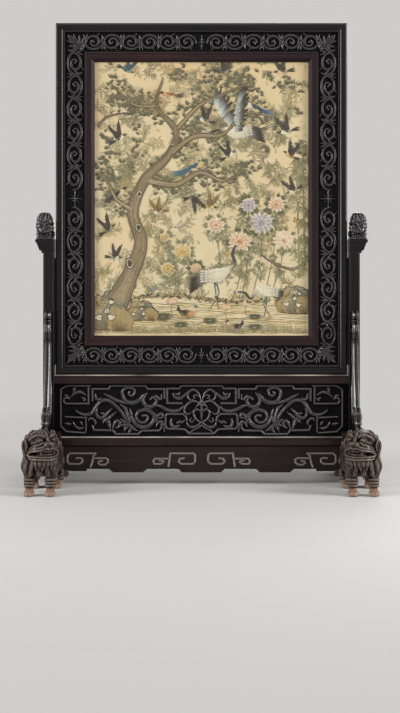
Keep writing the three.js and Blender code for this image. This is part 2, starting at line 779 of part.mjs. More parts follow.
// Aprons: sloping boards under the lower rail, front and rear, with key-fret relief
// Right half of the key-fret. Places are shares of the apron's half width and its drop.
function apronBands() {
  return [
    [
      [0.128, -0.5], [0.166, -0.64], [0.149, -0.73], [0.064, -0.73], [0.047, -0.64], [0.047, -0.39],
      [0.058, -0.3], [0.227, -0.3], [0.239, -0.82],
    ],
    [[0.242, -0.52], [0.338, -0.52], [0.341, -0.73], [0.294, -0.73], [0.283, -0.6]],
    [
      [0.723, -0.61], [0.749, -0.7], [0.735, -0.76], [0.7, -0.76], [0.679, -0.67], [0.694, -0.5],
      [0.781, -0.5],
    ],
    [[0.77, -0.3], [0.787, -0.39], [0.808, -0.91]],
    [
      [0.776, -0.3], [0.956, -0.3], [0.974, -0.39], [0.974, -0.64], [0.956, -0.73], [0.886, -0.73],
      [0.866, -0.65], [0.883, -0.48],
    ],
  ];
}

const apronStep = 9; // how far the raised stretches of the lower edge lie above the rest

function apronOutline() {
  const low = -apronDrop;
  const high = low + apronStep;
  const half = [
    [0, low],
    [0.143, low],
    [0.166, high],
    [0.394, high],
    [0.423, low],
    [0.641, low],
    [0.671, high],
    [0.828, high],
    [0.834, low + apronStep / 3],
    [0.959, low + apronStep / 3],
    [0.985, low + apronStep],
    [1, low + 2 * apronStep],
    [1, 0],
  ].map(([share, depth]) => [share * apronHalf, depth]);
  return [...half, ...mirrored(half.slice(1)).reverse()];
}

function apronGeometry() {
  const board = boardY(apronOutline(), -apronThickness / 2, apronThickness / 2);
  const drawn = apronBands().map((line) => line.map(([u, v]) => [u * apronHalf, v * apronDrop]));
  const bands = drawn.flatMap((line) => [line, mirrored(line)]);
  const face = -apronThickness / 2;
  const relief = bands.map((line) => ribbon(line, apronBandWidth, apronBandWidth, face - apronRelief, face + 1));
  return join([board, ...relief]);
}

for (const [name, turn] of [["front", 0], ["rear", Math.PI]]) {
  const hang = new THREE.Group();
  hang.rotation.z = turn;
  stand.add(hang);
  const apron = piece(`apron_${name}`, apronGeometry(), rosewoodWarm, hang);
  const lean = THREE.MathUtils.degToRad(apronLean);
  apron.rotation.x = -lean;
  const rise = (apronThickness / 2) * Math.sin(lean);
  apron.position.set(0, -railDepth / 2 + apronSetback, lowerRailBottom - fit - rise);
}

export default part;
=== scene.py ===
"""A carved hardwood screen with an embroidered silk picture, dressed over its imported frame."""

import math

import bpy
import numpy as np
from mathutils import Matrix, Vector


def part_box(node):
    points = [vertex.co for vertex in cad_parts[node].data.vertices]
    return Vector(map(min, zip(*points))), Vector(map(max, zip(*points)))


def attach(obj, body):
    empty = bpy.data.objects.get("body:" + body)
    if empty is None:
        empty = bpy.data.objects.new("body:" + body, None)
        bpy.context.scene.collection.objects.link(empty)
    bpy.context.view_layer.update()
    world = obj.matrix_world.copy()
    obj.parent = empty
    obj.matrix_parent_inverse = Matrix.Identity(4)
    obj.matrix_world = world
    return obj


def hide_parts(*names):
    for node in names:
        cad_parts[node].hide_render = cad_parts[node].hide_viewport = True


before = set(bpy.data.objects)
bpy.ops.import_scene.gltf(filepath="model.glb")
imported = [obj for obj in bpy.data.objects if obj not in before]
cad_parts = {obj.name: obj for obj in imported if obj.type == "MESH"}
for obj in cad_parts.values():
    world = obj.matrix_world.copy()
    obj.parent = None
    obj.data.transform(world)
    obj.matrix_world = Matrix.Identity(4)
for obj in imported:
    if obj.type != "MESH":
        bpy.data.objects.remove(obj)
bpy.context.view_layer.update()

# Sizes are in millimetres, as in the model's own source
MM = 0.001

# Photograph
PHOTO_WIDTH = 400
PHOTO_HEIGHT = 713
PHOTO_SCALE = 2.5  # millimetres to a pixel at the screen's face
HORIZON_ROW = 262
CENTRE_COLUMN = 201.5
CAMERA_DISTANCE = 3500
CAMERA_HEIGHT = 552
SENSOR = 36

# Stage
FLOOR_CLEAR = 850
FLOOR_RADIUS = 1900
AMBIENT = 0.26

# Screen frame
SCREEN_WIDTH = 730
SCREEN_HEIGHT = 880
MOULDING_WIDTH = 24
BORDER_WIDTH = 48
MITRE_GAP = 0.4
BORDER_FACE = -10
BORDER_BACK = 6
FRAME_FRONT = 17  # from the middle plane to the frame's face
FIT = 0.3  # between a piece and its seat
THREAD = 0.6  # width of a stitched thread


# Meshes and attributes


def new_object(name, vertices, faces, material, body):
    """A smooth mesh that rides on a body, from vertices in millimetres."""
    mesh = bpy.data.meshes.new(name)
    mesh.from_pydata((np.asarray(vertices, float) * MM).tolist(), [], faces)
    mesh.validate()
    mesh.materials.append(material)
    mesh.polygons.foreach_set("use_smooth", [True] * len(mesh.polygons))
    made = bpy.data.objects.new(name, mesh)
    bpy.context.scene.collection.objects.link(made)
    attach(made, body)
    return made


def paint(made, name, values):
    """Stores one number for each vertex, for the materials to read."""
    attribute = made.data.attributes.new(name, "FLOAT", "POINT")
    attribute.data.foreach_set("value", np.asarray(values, np.float32))


# Materials


class Shader:
    """A Principled material and short ways to add nodes to it."""

    def __init__(self, name):
        self.material = bpy.data.materials.new(name)
        self.material.use_nodes = True
        self.nodes = self.material.node_tree.nodes
        self.links = self.material.node_tree.links
        self.surface = self.nodes["Principled BSDF"]

    def add(self, kind, **settings):
        node = self.nodes.new("ShaderNode" + kind)
        for key, value in settings.items():
            setattr(node, key, value)
        return node

    def link(self, source, target):
        self.links.new(source, target)

    def place(self, scale):
        """Object coordinates in metres, times scale along each axis."""
        coordinates = self.add("TexCoord")
        mapping = self.add("Mapping")
        mapping.inputs["Scale"].default_value = scale
        self.link(coordinates.outputs["Object"], mapping.inputs["Vector"])
        return mapping.outputs["Vector"]

    def noise(self, scale, detail=4.0, roughness=0.55, distortion=0.0):
        made = self.add("TexNoise")
        made.inputs["Scale"].default_value = 1.0
        made.inputs["Detail"].default_value = detail
        made.inputs["Roughness"].default_value = roughness
        made.inputs["Distortion"].default_value = distortion
        self.link(self.place(scale), made.inputs["Vector"])
        return made.outputs["Fac"]

    def ramp(self, value, stops):
        """Colours along value; stops are (position, colour)."""
        made = self.add("ValToRGB")
        elements = made.color_ramp.elements
        while len(elements) < len(stops):
            elements.new(0.5)
        for element, (position, colour) in zip(elements, stops):
            element.position = position
            element.color = (*colour, 1)
        self.link(value, made.inputs["Fac"])
        return made.outputs["Color"]

    def mix(self, factor, a, b):
        made = self.add("Mix", data_type="RGBA")
        for socket, value in (("Factor", factor), ("A", a), ("B", b)):
            target = next(s for s in made.inputs if s.name == socket and s.enabled)
            if isinstance(value, bpy.types.NodeSocket):
                self.link(value, target)
            else:
                target.default_value = value if socket == "Factor" else (*value, 1)
        return next(s for s in made.outputs if s.enabled)

    def remap(self, value, low, high, to_low, to_high):
        made = self.add("MapRange")
        sockets = ("From Min", "From Max", "To Min", "To Max")
        for socket, number in zip(sockets, (low, high, to_low, to_high)):
            made.inputs[socket].default_value = number
        self.link(value, made.inputs["Value"])
        return made.outputs["Result"]

    def math(self, operation, a, b):
        made = self.add("Math", operation=operation)
        for target, value in zip(made.inputs, (a, b)):
            if isinstance(value, bpy.types.NodeSocket):
                self.link(value, target)
            else:
                target.default_value = value
        return made.outputs["Value"]

    def attribute(self, name, output="Fac"):
        return self.add("Attribute", attribute_name=name).outputs[output]

    def settle(self, values):
        """Sets uniform values on the surface's own sockets."""
        for socket, value in values.items():
            self.surface.inputs[socket].default_value = value

    def level(self):
        """The height on the piece, in metres, at rest."""
        split = self.add("SeparateXYZ")
        self.link(self.add("TexCoord").outputs["Object"], split.inputs[0])
        return split.outputs["Z"]

    def bump(self, height, strength, distance):
        made = self.add("Bump")
        made.inputs["Strength"].default_value = strength
        made.inputs["Distance"].default_value = distance
        self.link(height, made.inputs["Height"])
        self.link(made.outputs["Normal"], self.surface.inputs["Normal"])


def srgb(*channels):
    """0 to 255 as seen, to the linear values that shaders take."""
    scaled = [c / 255 for c in channels]
    return tuple(c / 12.92 if c <= 0.04045 else ((c + 0.055) / 1.055) ** 2.4 for c in scaled)


def halfway(a, b):
    return tuple((x + y) / 2 for x, y in zip(a, b))


def darker(colour, share):
    return tuple(share * c for c in colour)


def along(axis, long, across):
    """A noise scale stretched along one axis, from the grain's length and width in millimetres."""
    return tuple(1 / ((long if k == axis else across) * MM) for k in "xyz")


def hardwood(name, axis, dark, middle, light, gloss, coat=0.0, polish=0.0, worn_tone=None, carved=False,
             handled_tone=None, edge=None):
    """Dense dark wood: grain stretched along one axis, open pores, raised edges painted pale (partly
    abrasion, partly a painted highlight) and painted shade in hollows.

    coat is the wax on plain boards and polish the wax on the raised parts of carving. handled_tone is the
    colour of what is often touched, and edge the height of a board's upper edge, along which a pale line is
    painted as a highlight.
    """
    shader = Shader(name)
    figure = shader.noise(along(axis, 260, 9), 6, 0.6, 0.6)
    colour = shader.ramp(figure, [(0.3, dark), (0.52, middle), (0.74, light)])
    pores = shader.noise(along(axis, 7, 0.55), 3, 0.7)
    pore_mask = shader.remap(pores, 0.34, 0.42, 1, 0)
    colour = shader.mix(shader.math("MULTIPLY", pore_mask, 0.55), colour, darker(dark, 0.35))
    handling = shader.noise((9, 9, 9), 3, 0.5)
    roughness = shader.remap(handling, 0.3, 0.7, gloss - 0.06, gloss + 0.1)
    if handled_tone:
        colour = shader.mix(shader.math("MULTIPLY", shader.attribute("handled"), 0.75), colour,
                            handled_tone)
    if edge is not None:
        # Painted highlight: a pale line along the board's upper edge, broken into patches.
        off_edge = shader.math("ABSOLUTE", shader.math("SUBTRACT", shader.level(), edge), 0)
        painted_highlight_line = shader.remap(off_edge, 0.6 * MM, 3.4 * MM, 0.85, 0)
        patches = shader.remap(shader.noise((8, 8, 8), 2, 0.5), 0.36, 0.6, 0.25, 1)
        colour = shader.mix(shader.math("MULTIPLY", painted_highlight_line, patches), colour, worn_tone)
    if carved:
        worn = shader.attribute("worn")
        sunk = shader.attribute("sunk")
        # Raised crests painted paler: partly abrasion, partly a painted highlight.
        colour = shader.mix(shader.math("MULTIPLY", worn, 0.5), colour, worn_tone)
        # Hollows painted darker: painted shade.
        colour = shader.mix(shader.math("MULTIPLY", sunk, 0.85), colour, darker(dark, 0.3))
        roughness = shader.math("ADD", roughness, shader.math("MULTIPLY", sunk, 0.3))
        shader.link(shader.remap(sunk, 0, 0.8, polish, 0), shader.surface.inputs["Coat Weight"])
    else:
        shader.settle({"Coat Weight": coat})
    shader.link(colour, shader.surface.inputs["Base Color"])
    shader.link(roughness, shader.surface.inputs["Roughness"])
    fine = shader.noise(along(axis, 30, 0.8), 4, 0.6)
    height = shader.math("ADD", shader.math("MULTIPLY", fine, 0.5),
                         shader.math("MULTIPLY", pore_mask, -0.6))
    shader.bump(height, 0.35, 0.0004)
    shader.settle({"Specular IOR Level": 0.12, "Coat Roughness": 0.16})
    return shader.material


def wood(dark, middle, light, gloss, **more):
    """Settings for hardwood(), with its three tones given as seen."""
    return dict(dark=srgb(*dark), middle=srgb(*middle), light=srgb(*light), gloss=gloss, **more)


DARK = wood((8, 6, 8), (15, 12, 14), (29, 21, 24), 0.3, coat=0.3, polish=1.0,
            worn_tone=srgb(106, 100, 104))
WARM = wood((18, 9, 11), (34, 18, 20), (54, 29, 30), 0.34, coat=0.3)
# The rails' pale tone is painted along their upper edges as a highlight.
RAIL = dict(WARM, worn_tone=srgb(196, 184, 168))
# The aprons' wood is painted paler than the other wood: a painted reflection of the light on their leaning
# faces.
APRON = wood((46, 37, 35), (66, 54, 50), (88, 72, 66), 0.45, polish=0.3, worn_tone=srgb(150, 138, 128))
LION = wood((20, 15, 14), (43, 34, 30), (68, 55, 47), 0.42, coat=0.1, polish=0.22,
            worn_tone=srgb(158, 140, 124))
PINE = wood((92, 66, 44), (124, 92, 62), (150, 116, 82), 0.6)

dark_wood = {axis: hardwood(f"dark_rosewood_{axis}", axis, **DARK) for axis in "xz"}
warm_wood = {axis: hardwood(f"warm_rosewood_{axis}", axis, **WARM) for axis in "xz"}
dark_carved = {axis: hardwood(f"dark_carving_{axis}", axis, **DARK, carved=True) for axis in "xz"}
apron_carved = hardwood("apron_carving", "x", **APRON, carved=True)
lion_carved = hardwood("lion_carving", "z", **LION, carved=True, handled_tone=srgb(142, 112, 90))
lion_wood = hardwood("lion_wood", "z", **LION)
pine = {axis: hardwood(f"backing_pine_{axis}", axis, **PINE) for axis in "xz"}


def silk_material():
    """Cream silk with age tones and stains, its upper half tinted warmer and darker, and threads both ways.
    """
    shader = Shader("cream_silk")
    age = shader.noise((7, 7, 7), 4, 0.6)
    tones = [(0.3, srgb(194, 174, 134)), (0.5, srgb(208, 192, 154)), (0.72, srgb(216, 203, 170))]
    colour = shader.ramp(age, tones)
    stain = shader.remap(shader.noise((3.4, 3.4, 3.4), 3, 0.5), 0.5, 0.68, 0, 0.5)
    colour = shader.mix(stain, colour, srgb(206, 170, 122))
    low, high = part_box("silk_picture")
    # A warmer, darker tint over the upper half.
    above = shader.remap(shader.level(), (low.z + high.z) / 2, high.z, 0, 0.42)
    upper_tint = shader.math("MULTIPLY", above, shader.remap(age, 0.4, 0.6, 0.5, 1))
    colour = shader.mix(upper_tint, colour, srgb(206, 168, 112))
    weft = shader.noise((140, 140, 2600), 2, 0.6)
    slub = shader.math("MULTIPLY", shader.remap(weft, 0.35, 0.65, 0, 1), 0.16)
    colour = shader.mix(slub, colour, srgb(170, 148, 104))
    shader.link(colour, shader.surface.inputs["Base Color"])
    warp = shader.noise((2600, 140, 140), 2, 0.6)
    shader.bump(shader.math("ADD", weft, shader.math("MULTIPLY", warp, 0.6)), 0.3, 0.0002)
    shader.settle({"Roughness": 0.62, "Specular IOR Level": 0.2, "Sheen Weight": 0.15,
                   "Sheen Roughness": 0.5})
    return shader.material


silk = silk_material()


def thread_material():
    """Floss silk: colour from the stitches, a ridge for every thread with painted shade between the threads,
    and a soft gloss.
    """
    shader = Shader("silk_thread")
    run = shader.attribute("thread_run")
    ridge = shader.math("SINE", shader.math("MULTIPLY", run, 2 * math.pi / THREAD), 0)
    lane = shader.add("TexNoise", noise_dimensions="1D")
    lane.inputs["Scale"].default_value = 1.1
    shader.link(run, lane.inputs["W"])
    tone = shader.remap(lane.outputs["Fac"], 0.3, 0.7, 0, 1)
    colour = shader.attribute("thread_colour", "Color")
    colour = shader.mix(shader.math("MULTIPLY", tone, 0.13), colour, srgb(216, 202, 168))
    # Painted shade in the grooves between the threads.
    shade = shader.remap(ridge, -1, -0.4, 0.35, 0)
    colour = shader.mix(shade, colour, srgb(60, 50, 38))
    shader.link(colour, shader.surface.inputs["Base Color"])
    shader.bump(ridge, 0.6, 0.0002)
    shader.settle({"Roughness": 0.42, "Specular IOR Level": 0.25, "Sheen Weight": 0.06,
                   "Sheen Roughness": 0.35})
    return shader.material


thread = thread_material()


def dress_cad_nodes():
    """Gives every carried-over node its material, with the grain along the piece."""
    for name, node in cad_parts.items():
        low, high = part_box(name)
        axis = "z" if high.z - low.z > high.x - low.x else "x"
        if name == "silk_picture":
            material = silk
        elif name.startswith("backing"):
            material = pine[axis]
        elif name.startswith(("foot_lion", "foot_block")):
            material = lion_wood
        elif name.endswith("_rail"):
            material = hardwood(f"warm_{name}", axis, **RAIL, edge=high.z)
        elif name.startswith(("sight_frame", "apron", "retaining")):
            material = warm_wood[axis]
        else:
            material = dark_wood[axis]
        node.data.materials.clear()
        node.data.materials.append(material)


dress_cad_nodes()


# Relief carving: heights over a flat board, in millimetres


def bend(points, steps=8):
    """A smooth line through the points (Catmull-Rom)."""
    p = np.asarray(points, float)
    p = np.vstack([2 * p[0] - p[1], p, 2 * p[-1] - p[-2]])
    line = []
    for a, b, c, d in zip(p, p[1:], p[2:], p[3:]):
        for k in range(steps):
            t = k / steps
            square, cube = (2 * a - 5 * b + 4 * c - d) * t**2, (3 * b - a - 3 * c + d) * t**3
            line.append(0.5 * (2 * b + (c - a) * t + square + cube))
    line.append(p[-2])
    return np.array(line)


def pointing(angle):
    """A flat unit vector at an angle in degrees."""
    a = math.radians(angle)
    return np.array([math.cos(a), math.sin(a)])


def filled(values, count):
    """A few values, filled in evenly to count of them."""
    return np.interp(np.linspace(0, 1, count), np.linspace(0, 1, np.size(values)), np.atleast_1d(values))


def directions(line):
    """Unit tangents along a flat line, and the normals to their left."""
    tangent = np.gradient(line, axis=0)
    tangent /= np.maximum(np.linalg.norm(tangent, axis=1), 1e-9)[:, None]
    return tangent, np.stack([-tangent[:, 1], tangent[:, 0]], 1)


class Relief:
    """Heights on a fine raster; strokes raise it, and boards are meshed from it."""

    def __init__(self, half_u, half_v, cell=0.5):
        self.cell = cell
        self.low = np.array([-half_u, -half_v], float)
        shape = (int(2 * half_u / cell) + 2, int(2 * half_v / cell) + 2)
        self.h = np.zeros(shape, np.float32)

    def stroke(self, line, widths, height, crown=0.6, groove=0.0, ribs=2):
        """Raises a band along line; crown rounds its top, and groove cuts it into ribs."""
        line = np.asarray(line, float)
        widths = filled(widths, len(line))
        for a, b, wa, wb in zip(line, line[1:], widths, widths[1:]):
            reach = max(wa, wb) / 2 + self.cell
            lo = np.floor((np.minimum(a, b) - reach - self.low) / self.cell).astype(int)
            hi = np.ceil((np.maximum(a, b) + reach - self.low) / self.cell).astype(int) + 1
            lo = np.maximum(lo, 0)
            hi = np.minimum(hi, self.h.shape)
            if (hi <= lo).any():
                continue
            u = (self.low[0] + self.cell * np.arange(lo[0], hi[0]))[:, None]
            v = (self.low[1] + self.cell * np.arange(lo[1], hi[1]))[None, :]
            run = b - a
            t = np.clip(((u - a[0]) * run[0] + (v - a[1]) * run[1]) / max(run @ run, 1e-9), 0, 1)
            away = np.hypot(u - a[0] - t * run[0], v - a[1] - t * run[1])
            half = np.maximum((wa + (wb - wa) * t) / 2, 1e-3)
            q = np.clip(away / half, 0, 1)
            top = 1 - crown + crown * np.sqrt(1 - q**2)
            wall = np.clip((1 - q) * half / 0.7, 0, 1)
            rib = np.clip(1 - q * 2.2, 0, 1) if ribs == 2 else 0.5 - 0.5 * np.cos(ribs * math.pi * q)
            raised = height * (top * wall - groove * rib) * np.clip(half / 1.2, 0.35, 1)
            window = self.h[lo[0] : hi[0], lo[1] : hi[1]]
            np.maximum(window, np.where(q < 1, raised, 0), out=window)

    def mirror(self):
        """Copies the half with u below 0 to the other side."""
        count = self.h.shape[0]
        half = count // 2
        self.h[count - half :] = self.h[:half][::-1]

    def at(self, u, v):
        """Heights and their local curvature at the points, bilinear."""
        gu = np.clip((u - self.low[0]) / self.cell, 0, self.h.shape[0] - 1.001)
        gv = np.clip((v - self.low[1]) / self.cell, 0, self.h.shape[1] - 1.001)
        i, j = gu.astype(int), gv.astype(int)
        fu, fv = gu - i, gv - j

        def sample(field):
            near = field[i, j] * (1 - fu) + field[i + 1, j] * fu
            far = field[i, j + 1] * (1 - fu) + field[i + 1, j + 1] * fu
            return near * (1 - fv) + far * fv

        return sample(self.h), sample(self.h - blurred(self.h, 3))


def blurred(field, reach):
    """Box blur, run twice along both axes."""
    out = field.astype(np.float64)
    width = 2 * reach + 1
    for _ in range(2):
        for axis in (0, 1):
            padded = np.pad(out, [(reach + 1, reach) if k == axis else (0, 0) for k in (0, 1)], "edge")
            total = np.cumsum(padded, axis)
            upper = np.take(total, range(width, total.shape[axis]), axis)
            lower = np.take(total, range(0, total.shape[axis] - width), axis)
            out = (upper - lower) / width
    return out


def carved_board(name, relief, u, v, place, back, material, body, replaced, wear_and_highlight_share=1.0):
    """A closed board whose face follows relief at the grid points u, v.

    place turns (u, v, height) into x, y, z; back is the height of the board's back face.
    """
    height, bulge = relief.at(u, v)
    rows, columns = u.shape
    front = np.stack([u, v, height], -1).reshape(-1, 3)
    index = np.arange(rows * columns).reshape(rows, columns)
    faces = np.stack([index[:-1, :-1], index[1:, :-1], index[1:, 1:], index[:-1, 1:]], -1).reshape(-1, 4)
    rim = np.concatenate([index[:, 0], index[-1, 1:], index[-2::-1, -1], index[0, -2:0:-1]])
    behind = front[rim].copy()
    behind[:, 2] = back
    start = len(front)
    count = len(rim)
    ring = np.arange(count)
    after = (ring + 1) % count
    walls = np.stack([rim[ring], start + ring, start + after, rim[after]], -1)
    points = np.vstack([front, behind])
    world = np.stack(place(points[:, 0], points[:, 1], points[:, 2]), -1)
    polygons = faces.tolist() + walls.tolist() + [list(range(start + count - 1, start - 1, -1))]
    made = new_object(name, world, polygons, material, body)
    flip_if_inside_out(made)
    deepest = max(float(relief.h.max()), 1e-6)
    # sunk marks the carving's hollows, where the material paints shade and dulls the gloss.
    sunk = np.clip(1 - front[:, 2] / (0.45 * deepest), 0, 1) * (bulge.reshape(-1) < 0.05)
    # The crests' share of pale paint: partly abrasion, partly a painted highlight.
    worn = wear_and_highlight_share * np.clip(bulge.reshape(-1) / (0.22 * deepest), 0, 1)
    paint(made, "sunk", np.concatenate([sunk, np.zeros(count)]))
    paint(made, "worn", np.concatenate([worn, np.zeros(count)]))
    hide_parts(replaced)
    return made


def flip_if_inside_out(made):
    """Turns all faces over if the closed mesh has a negative volume."""
    mesh = made.data
    mesh.calc_loop_triangles()
    corners = np.array([t.vertices for t in mesh.loop_triangles])
    points = np.array([v.co for v in mesh.vertices])
    a, b, c = (points[corners[:, k]] for k in range(3))
    if np.einsum("ij,ij->i", a, np.cross(b, c)).sum() < 0:
        mesh.flip_normals()
    for polygon in mesh.polygons:
        if len(polygon.vertices) > 4:
            polygon.use_smooth = False


# Carved borders of the screen frame

VINE_HEIGHT = 6
VINE_WIDTH = 7
VINE_SWING = 17.5
VINE_GROOVE = 0.22
VINE_CROWN = 0.85
# Vine of a border: where it leaves the middle flower, half a wave, and the side it first bends to
TOP_VINE = (13, 45, -1)
SIDE_VINE = (21, 56, 1)


def vine_stroke(relief, line, widths, height=VINE_HEIGHT, groove=0.0):
    relief.stroke(line, widths, height, VINE_CROWN, groove)


def border_vine(length, first, half_wave, side):
    """A running vine, drawn for u below 0 and mirrored; v runs inwards from the border's middle."""
    relief = Relief(length / 2, BORDER_WIDTH / 2 + 1)
    reach = length / 2 - BORDER_WIDTH - first
    count = round(reach / half_wave)
    step = reach / count
    vine = [(-first, -4 * side)]
    for k in range(count):
        middle = -first - (k + 0.5) * step
        over = side * (-1) ** k
        for share, swing in ((0.42, 0.45), (0.24, 0.86), (0, 1), (-0.24, 0.86), (-0.42, 0.45)):
            vine.append((middle + share * step, over * swing * VINE_SWING))
        branch_scroll(relief, middle, step, over)
        vine_leaves(relief, middle - step / 2, step, over)
    vine.append((-first - reach - 6, -9 * over))
    vine_stroke(relief, bend(vine, 6), [3.5] + [VINE_WIDTH] * 4 * count + [3], groove=VINE_GROOVE)
    centre_flower(relief, first)
    corner_leaf(relief, length)
    relief.mirror()
    return relief


def branch_scroll(relief, middle, step, over):
    """A branch that leaves the vine where it turns, and curls round the vine's hollow to a bud."""
    turn = np.radians(np.linspace(165, 590, 60))
    shrink = 1 - 0.72 * np.linspace(0, 1, 60) ** 0.85
    centre = np.array([middle, 0])
    reach = 0.44 * step
    across = over * 1.08 * VINE_SWING
    line = np.stack([middle + reach * shrink * np.cos(turn), across * shrink * np.sin(turn)], 1)
    for angle, tip in ((228, 1.22), (292, 1.3)):
        out = pointing(angle) * (reach, across)
        leaf = [centre + out * 0.8, centre + out * tip + (0.1 * step, 0)]
        vine_stroke(relief, leaf, [5, 6, 1.6], VINE_HEIGHT * 0.8)
    vine_stroke(relief, line, [4.5, 6.5, 8.2, 7.6, 6.6, 5.6, 4.8], groove=VINE_GROOVE)
    vine_stroke(relief, [line[-1], centre], 6.6, VINE_HEIGHT + 0.8)


def vine_leaves(relief, edge, step, over):
    """Leaves in the corners where the vine crosses the border: a hooked one, and a pair of lobes."""
    hook = [(-0.22, -1), (-0.13, 1.5), (-0.05, 7), (-0.03, 13), (-0.1, 17.5)]
    vine_stroke(relief, bend([(edge + u * step, over * v) for u, v in hook]), [3, 6, 7.6, 6, 2.4])
    for share, width in ((0.15, 6), (-0.04, 5)):
        lobe = [(0.03, -5), (0.6 * share, -13), (share, -20.5)]
        line = bend([(edge + u * step, over * v) for u, v in lobe])
        vine_stroke(relief, line, [3, width, 1.8], VINE_HEIGHT * 0.85)


def centre_flower(relief, room):
    """Four-petalled flower at the border's middle, between the two halves of the vine."""
    for angle in range(45, 405, 90):
        vine_stroke(relief, [(0, 0), pointing(angle) * (0.6 * room, 13)], [3, 5, 1.6], VINE_HEIGHT * 0.8)
    for tip, width in (((0, 18), 8), ((0, -18), 8), ((room - 1, 0), 8.5), ((1 - room, 0), 8.5)):
        vine_stroke(relief, [(0, 0), tip], [3, width, width * 0.8, 1.6], groove=0.3)
    vine_stroke(relief, [(0, 0), (0.1, 0)], 8, VINE_HEIGHT + 1)


def corner_leaf(relief, length):
    """Palmette on the mitre, its petals fanned from the inner corner: this border's half of it."""
    base = np.array([BORDER_WIDTH - length / 2 - 7, BORDER_WIDTH / 2 - 7])
    for spread, reach, width in ((0, 50, 9), (17, 42, 8.5), (36, 34, 8), (58, 25, 7)):
        for way in (-1, 1):
            out = pointing(225 + way * spread)
            aside = np.array([-out[1], out[0]]) * way * 3
            petal = bend([base, base + out * reach * 0.6 - aside, base + out * reach])
            vine_stroke(relief, petal, [3, width * 0.7, width, width * 0.9, 2], groove=0.25)
    vine_stroke(relief, [base, base + 0.1], 9, VINE_HEIGHT + 0.6)


def screen_middle():
    low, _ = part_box("moulding_bottom")
    _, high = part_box("moulding_top")
    return (low.z + high.z) / 2 / MM


def border_boards():
    """The four mitred carved boards, each from its own vine."""
    wide = SCREEN_WIDTH - 2 * MOULDING_WIDTH
    tall = SCREEN_HEIGHT - 2 * MOULDING_WIDTH
    middle = screen_middle()
    cell = 0.8
    for side, length, vine, turn in (
        ("top", wide, TOP_VINE, 0),
        ("right", tall, SIDE_VINE, 90),
        ("bottom", wide, TOP_VINE, 180),
        ("left", tall, SIDE_VINE, 270),
    ):
        relief = border_vine(length, *vine)
        across = np.linspace(-BORDER_WIDTH / 2 + FIT, BORDER_WIDTH / 2 - FIT, int(BORDER_WIDTH / cell))
        share = np.linspace(-1, 1, int(length / cell))
        inward = across + BORDER_WIDTH / 2
        v = np.broadcast_to(across, (len(share), len(across)))
        u = share[:, None] * (length / 2 - inward - MITRE_GAP / 2)[None, :]
        outer = (tall if turn % 180 == 0 else wide) / 2
        angle = math.radians(turn)

        def place(a, b, h, outer=outer, angle=angle):
            x, z = a, outer - b - BORDER_WIDTH / 2
            return (
                x * math.cos(angle) + z * math.sin(angle),
                BORDER_FACE - h,
                z * math.cos(angle) - x * math.sin(angle) + middle,
            )

        grain = "x" if turn % 180 == 0 else "z"
        carved_board(f"border_carving_{side}", relief, u, v, place, BORDER_FACE - BORDER_BACK,
                     dark_carved[grain], "screen", f"carved_border_{side}", wear_and_highlight_share=0.5)


border_boards()


# Carved panel between the rails

PANEL_HEIGHT = 7
VINE_FULLNESS = 1.35  # of the panel's vines, over the widths listed below
PANEL_FACE = -6
PANEL_BACK = 7


def panel_fret():
    """Stepped bands that frame the panel's compartments, right half: (line, width)."""
    return [
        ([(0, 61), (50, 61), (56, 54), (86, 54), (86, 17), (50, 17)], 5.5),
        ([(93, 30), (93, 53), (135, 53), (140, 61), (228, 61), (232, 53), (273, 53), (273, 24)], 5.5),
        ([(100, 38), (100, 28), (106, 26), (110, 31)], 4),
        ([(283, 60), (283, 16), (341, 16), (346, 22), (344, 30), (337, 30)], 5),
        ([(279, 61), (338, 61), (353, 52), (353, -40), (339, -54), (293, -57), (290, -52), (290, -19),
          (341, -17)], 5),
        ([(0, -59), (31, -59), (42, -48), (84, -47), (90, -41), (90, -15), (86, -10), (47, -10),
          (39, -17), (37, -26)], 5.5),
        ([(101, -30), (100, -44), (106, -51), (150, -52), (158, -60), (215, -60), (222, -51), (270, -50),
          (273, -40)], 5.5),
    ]


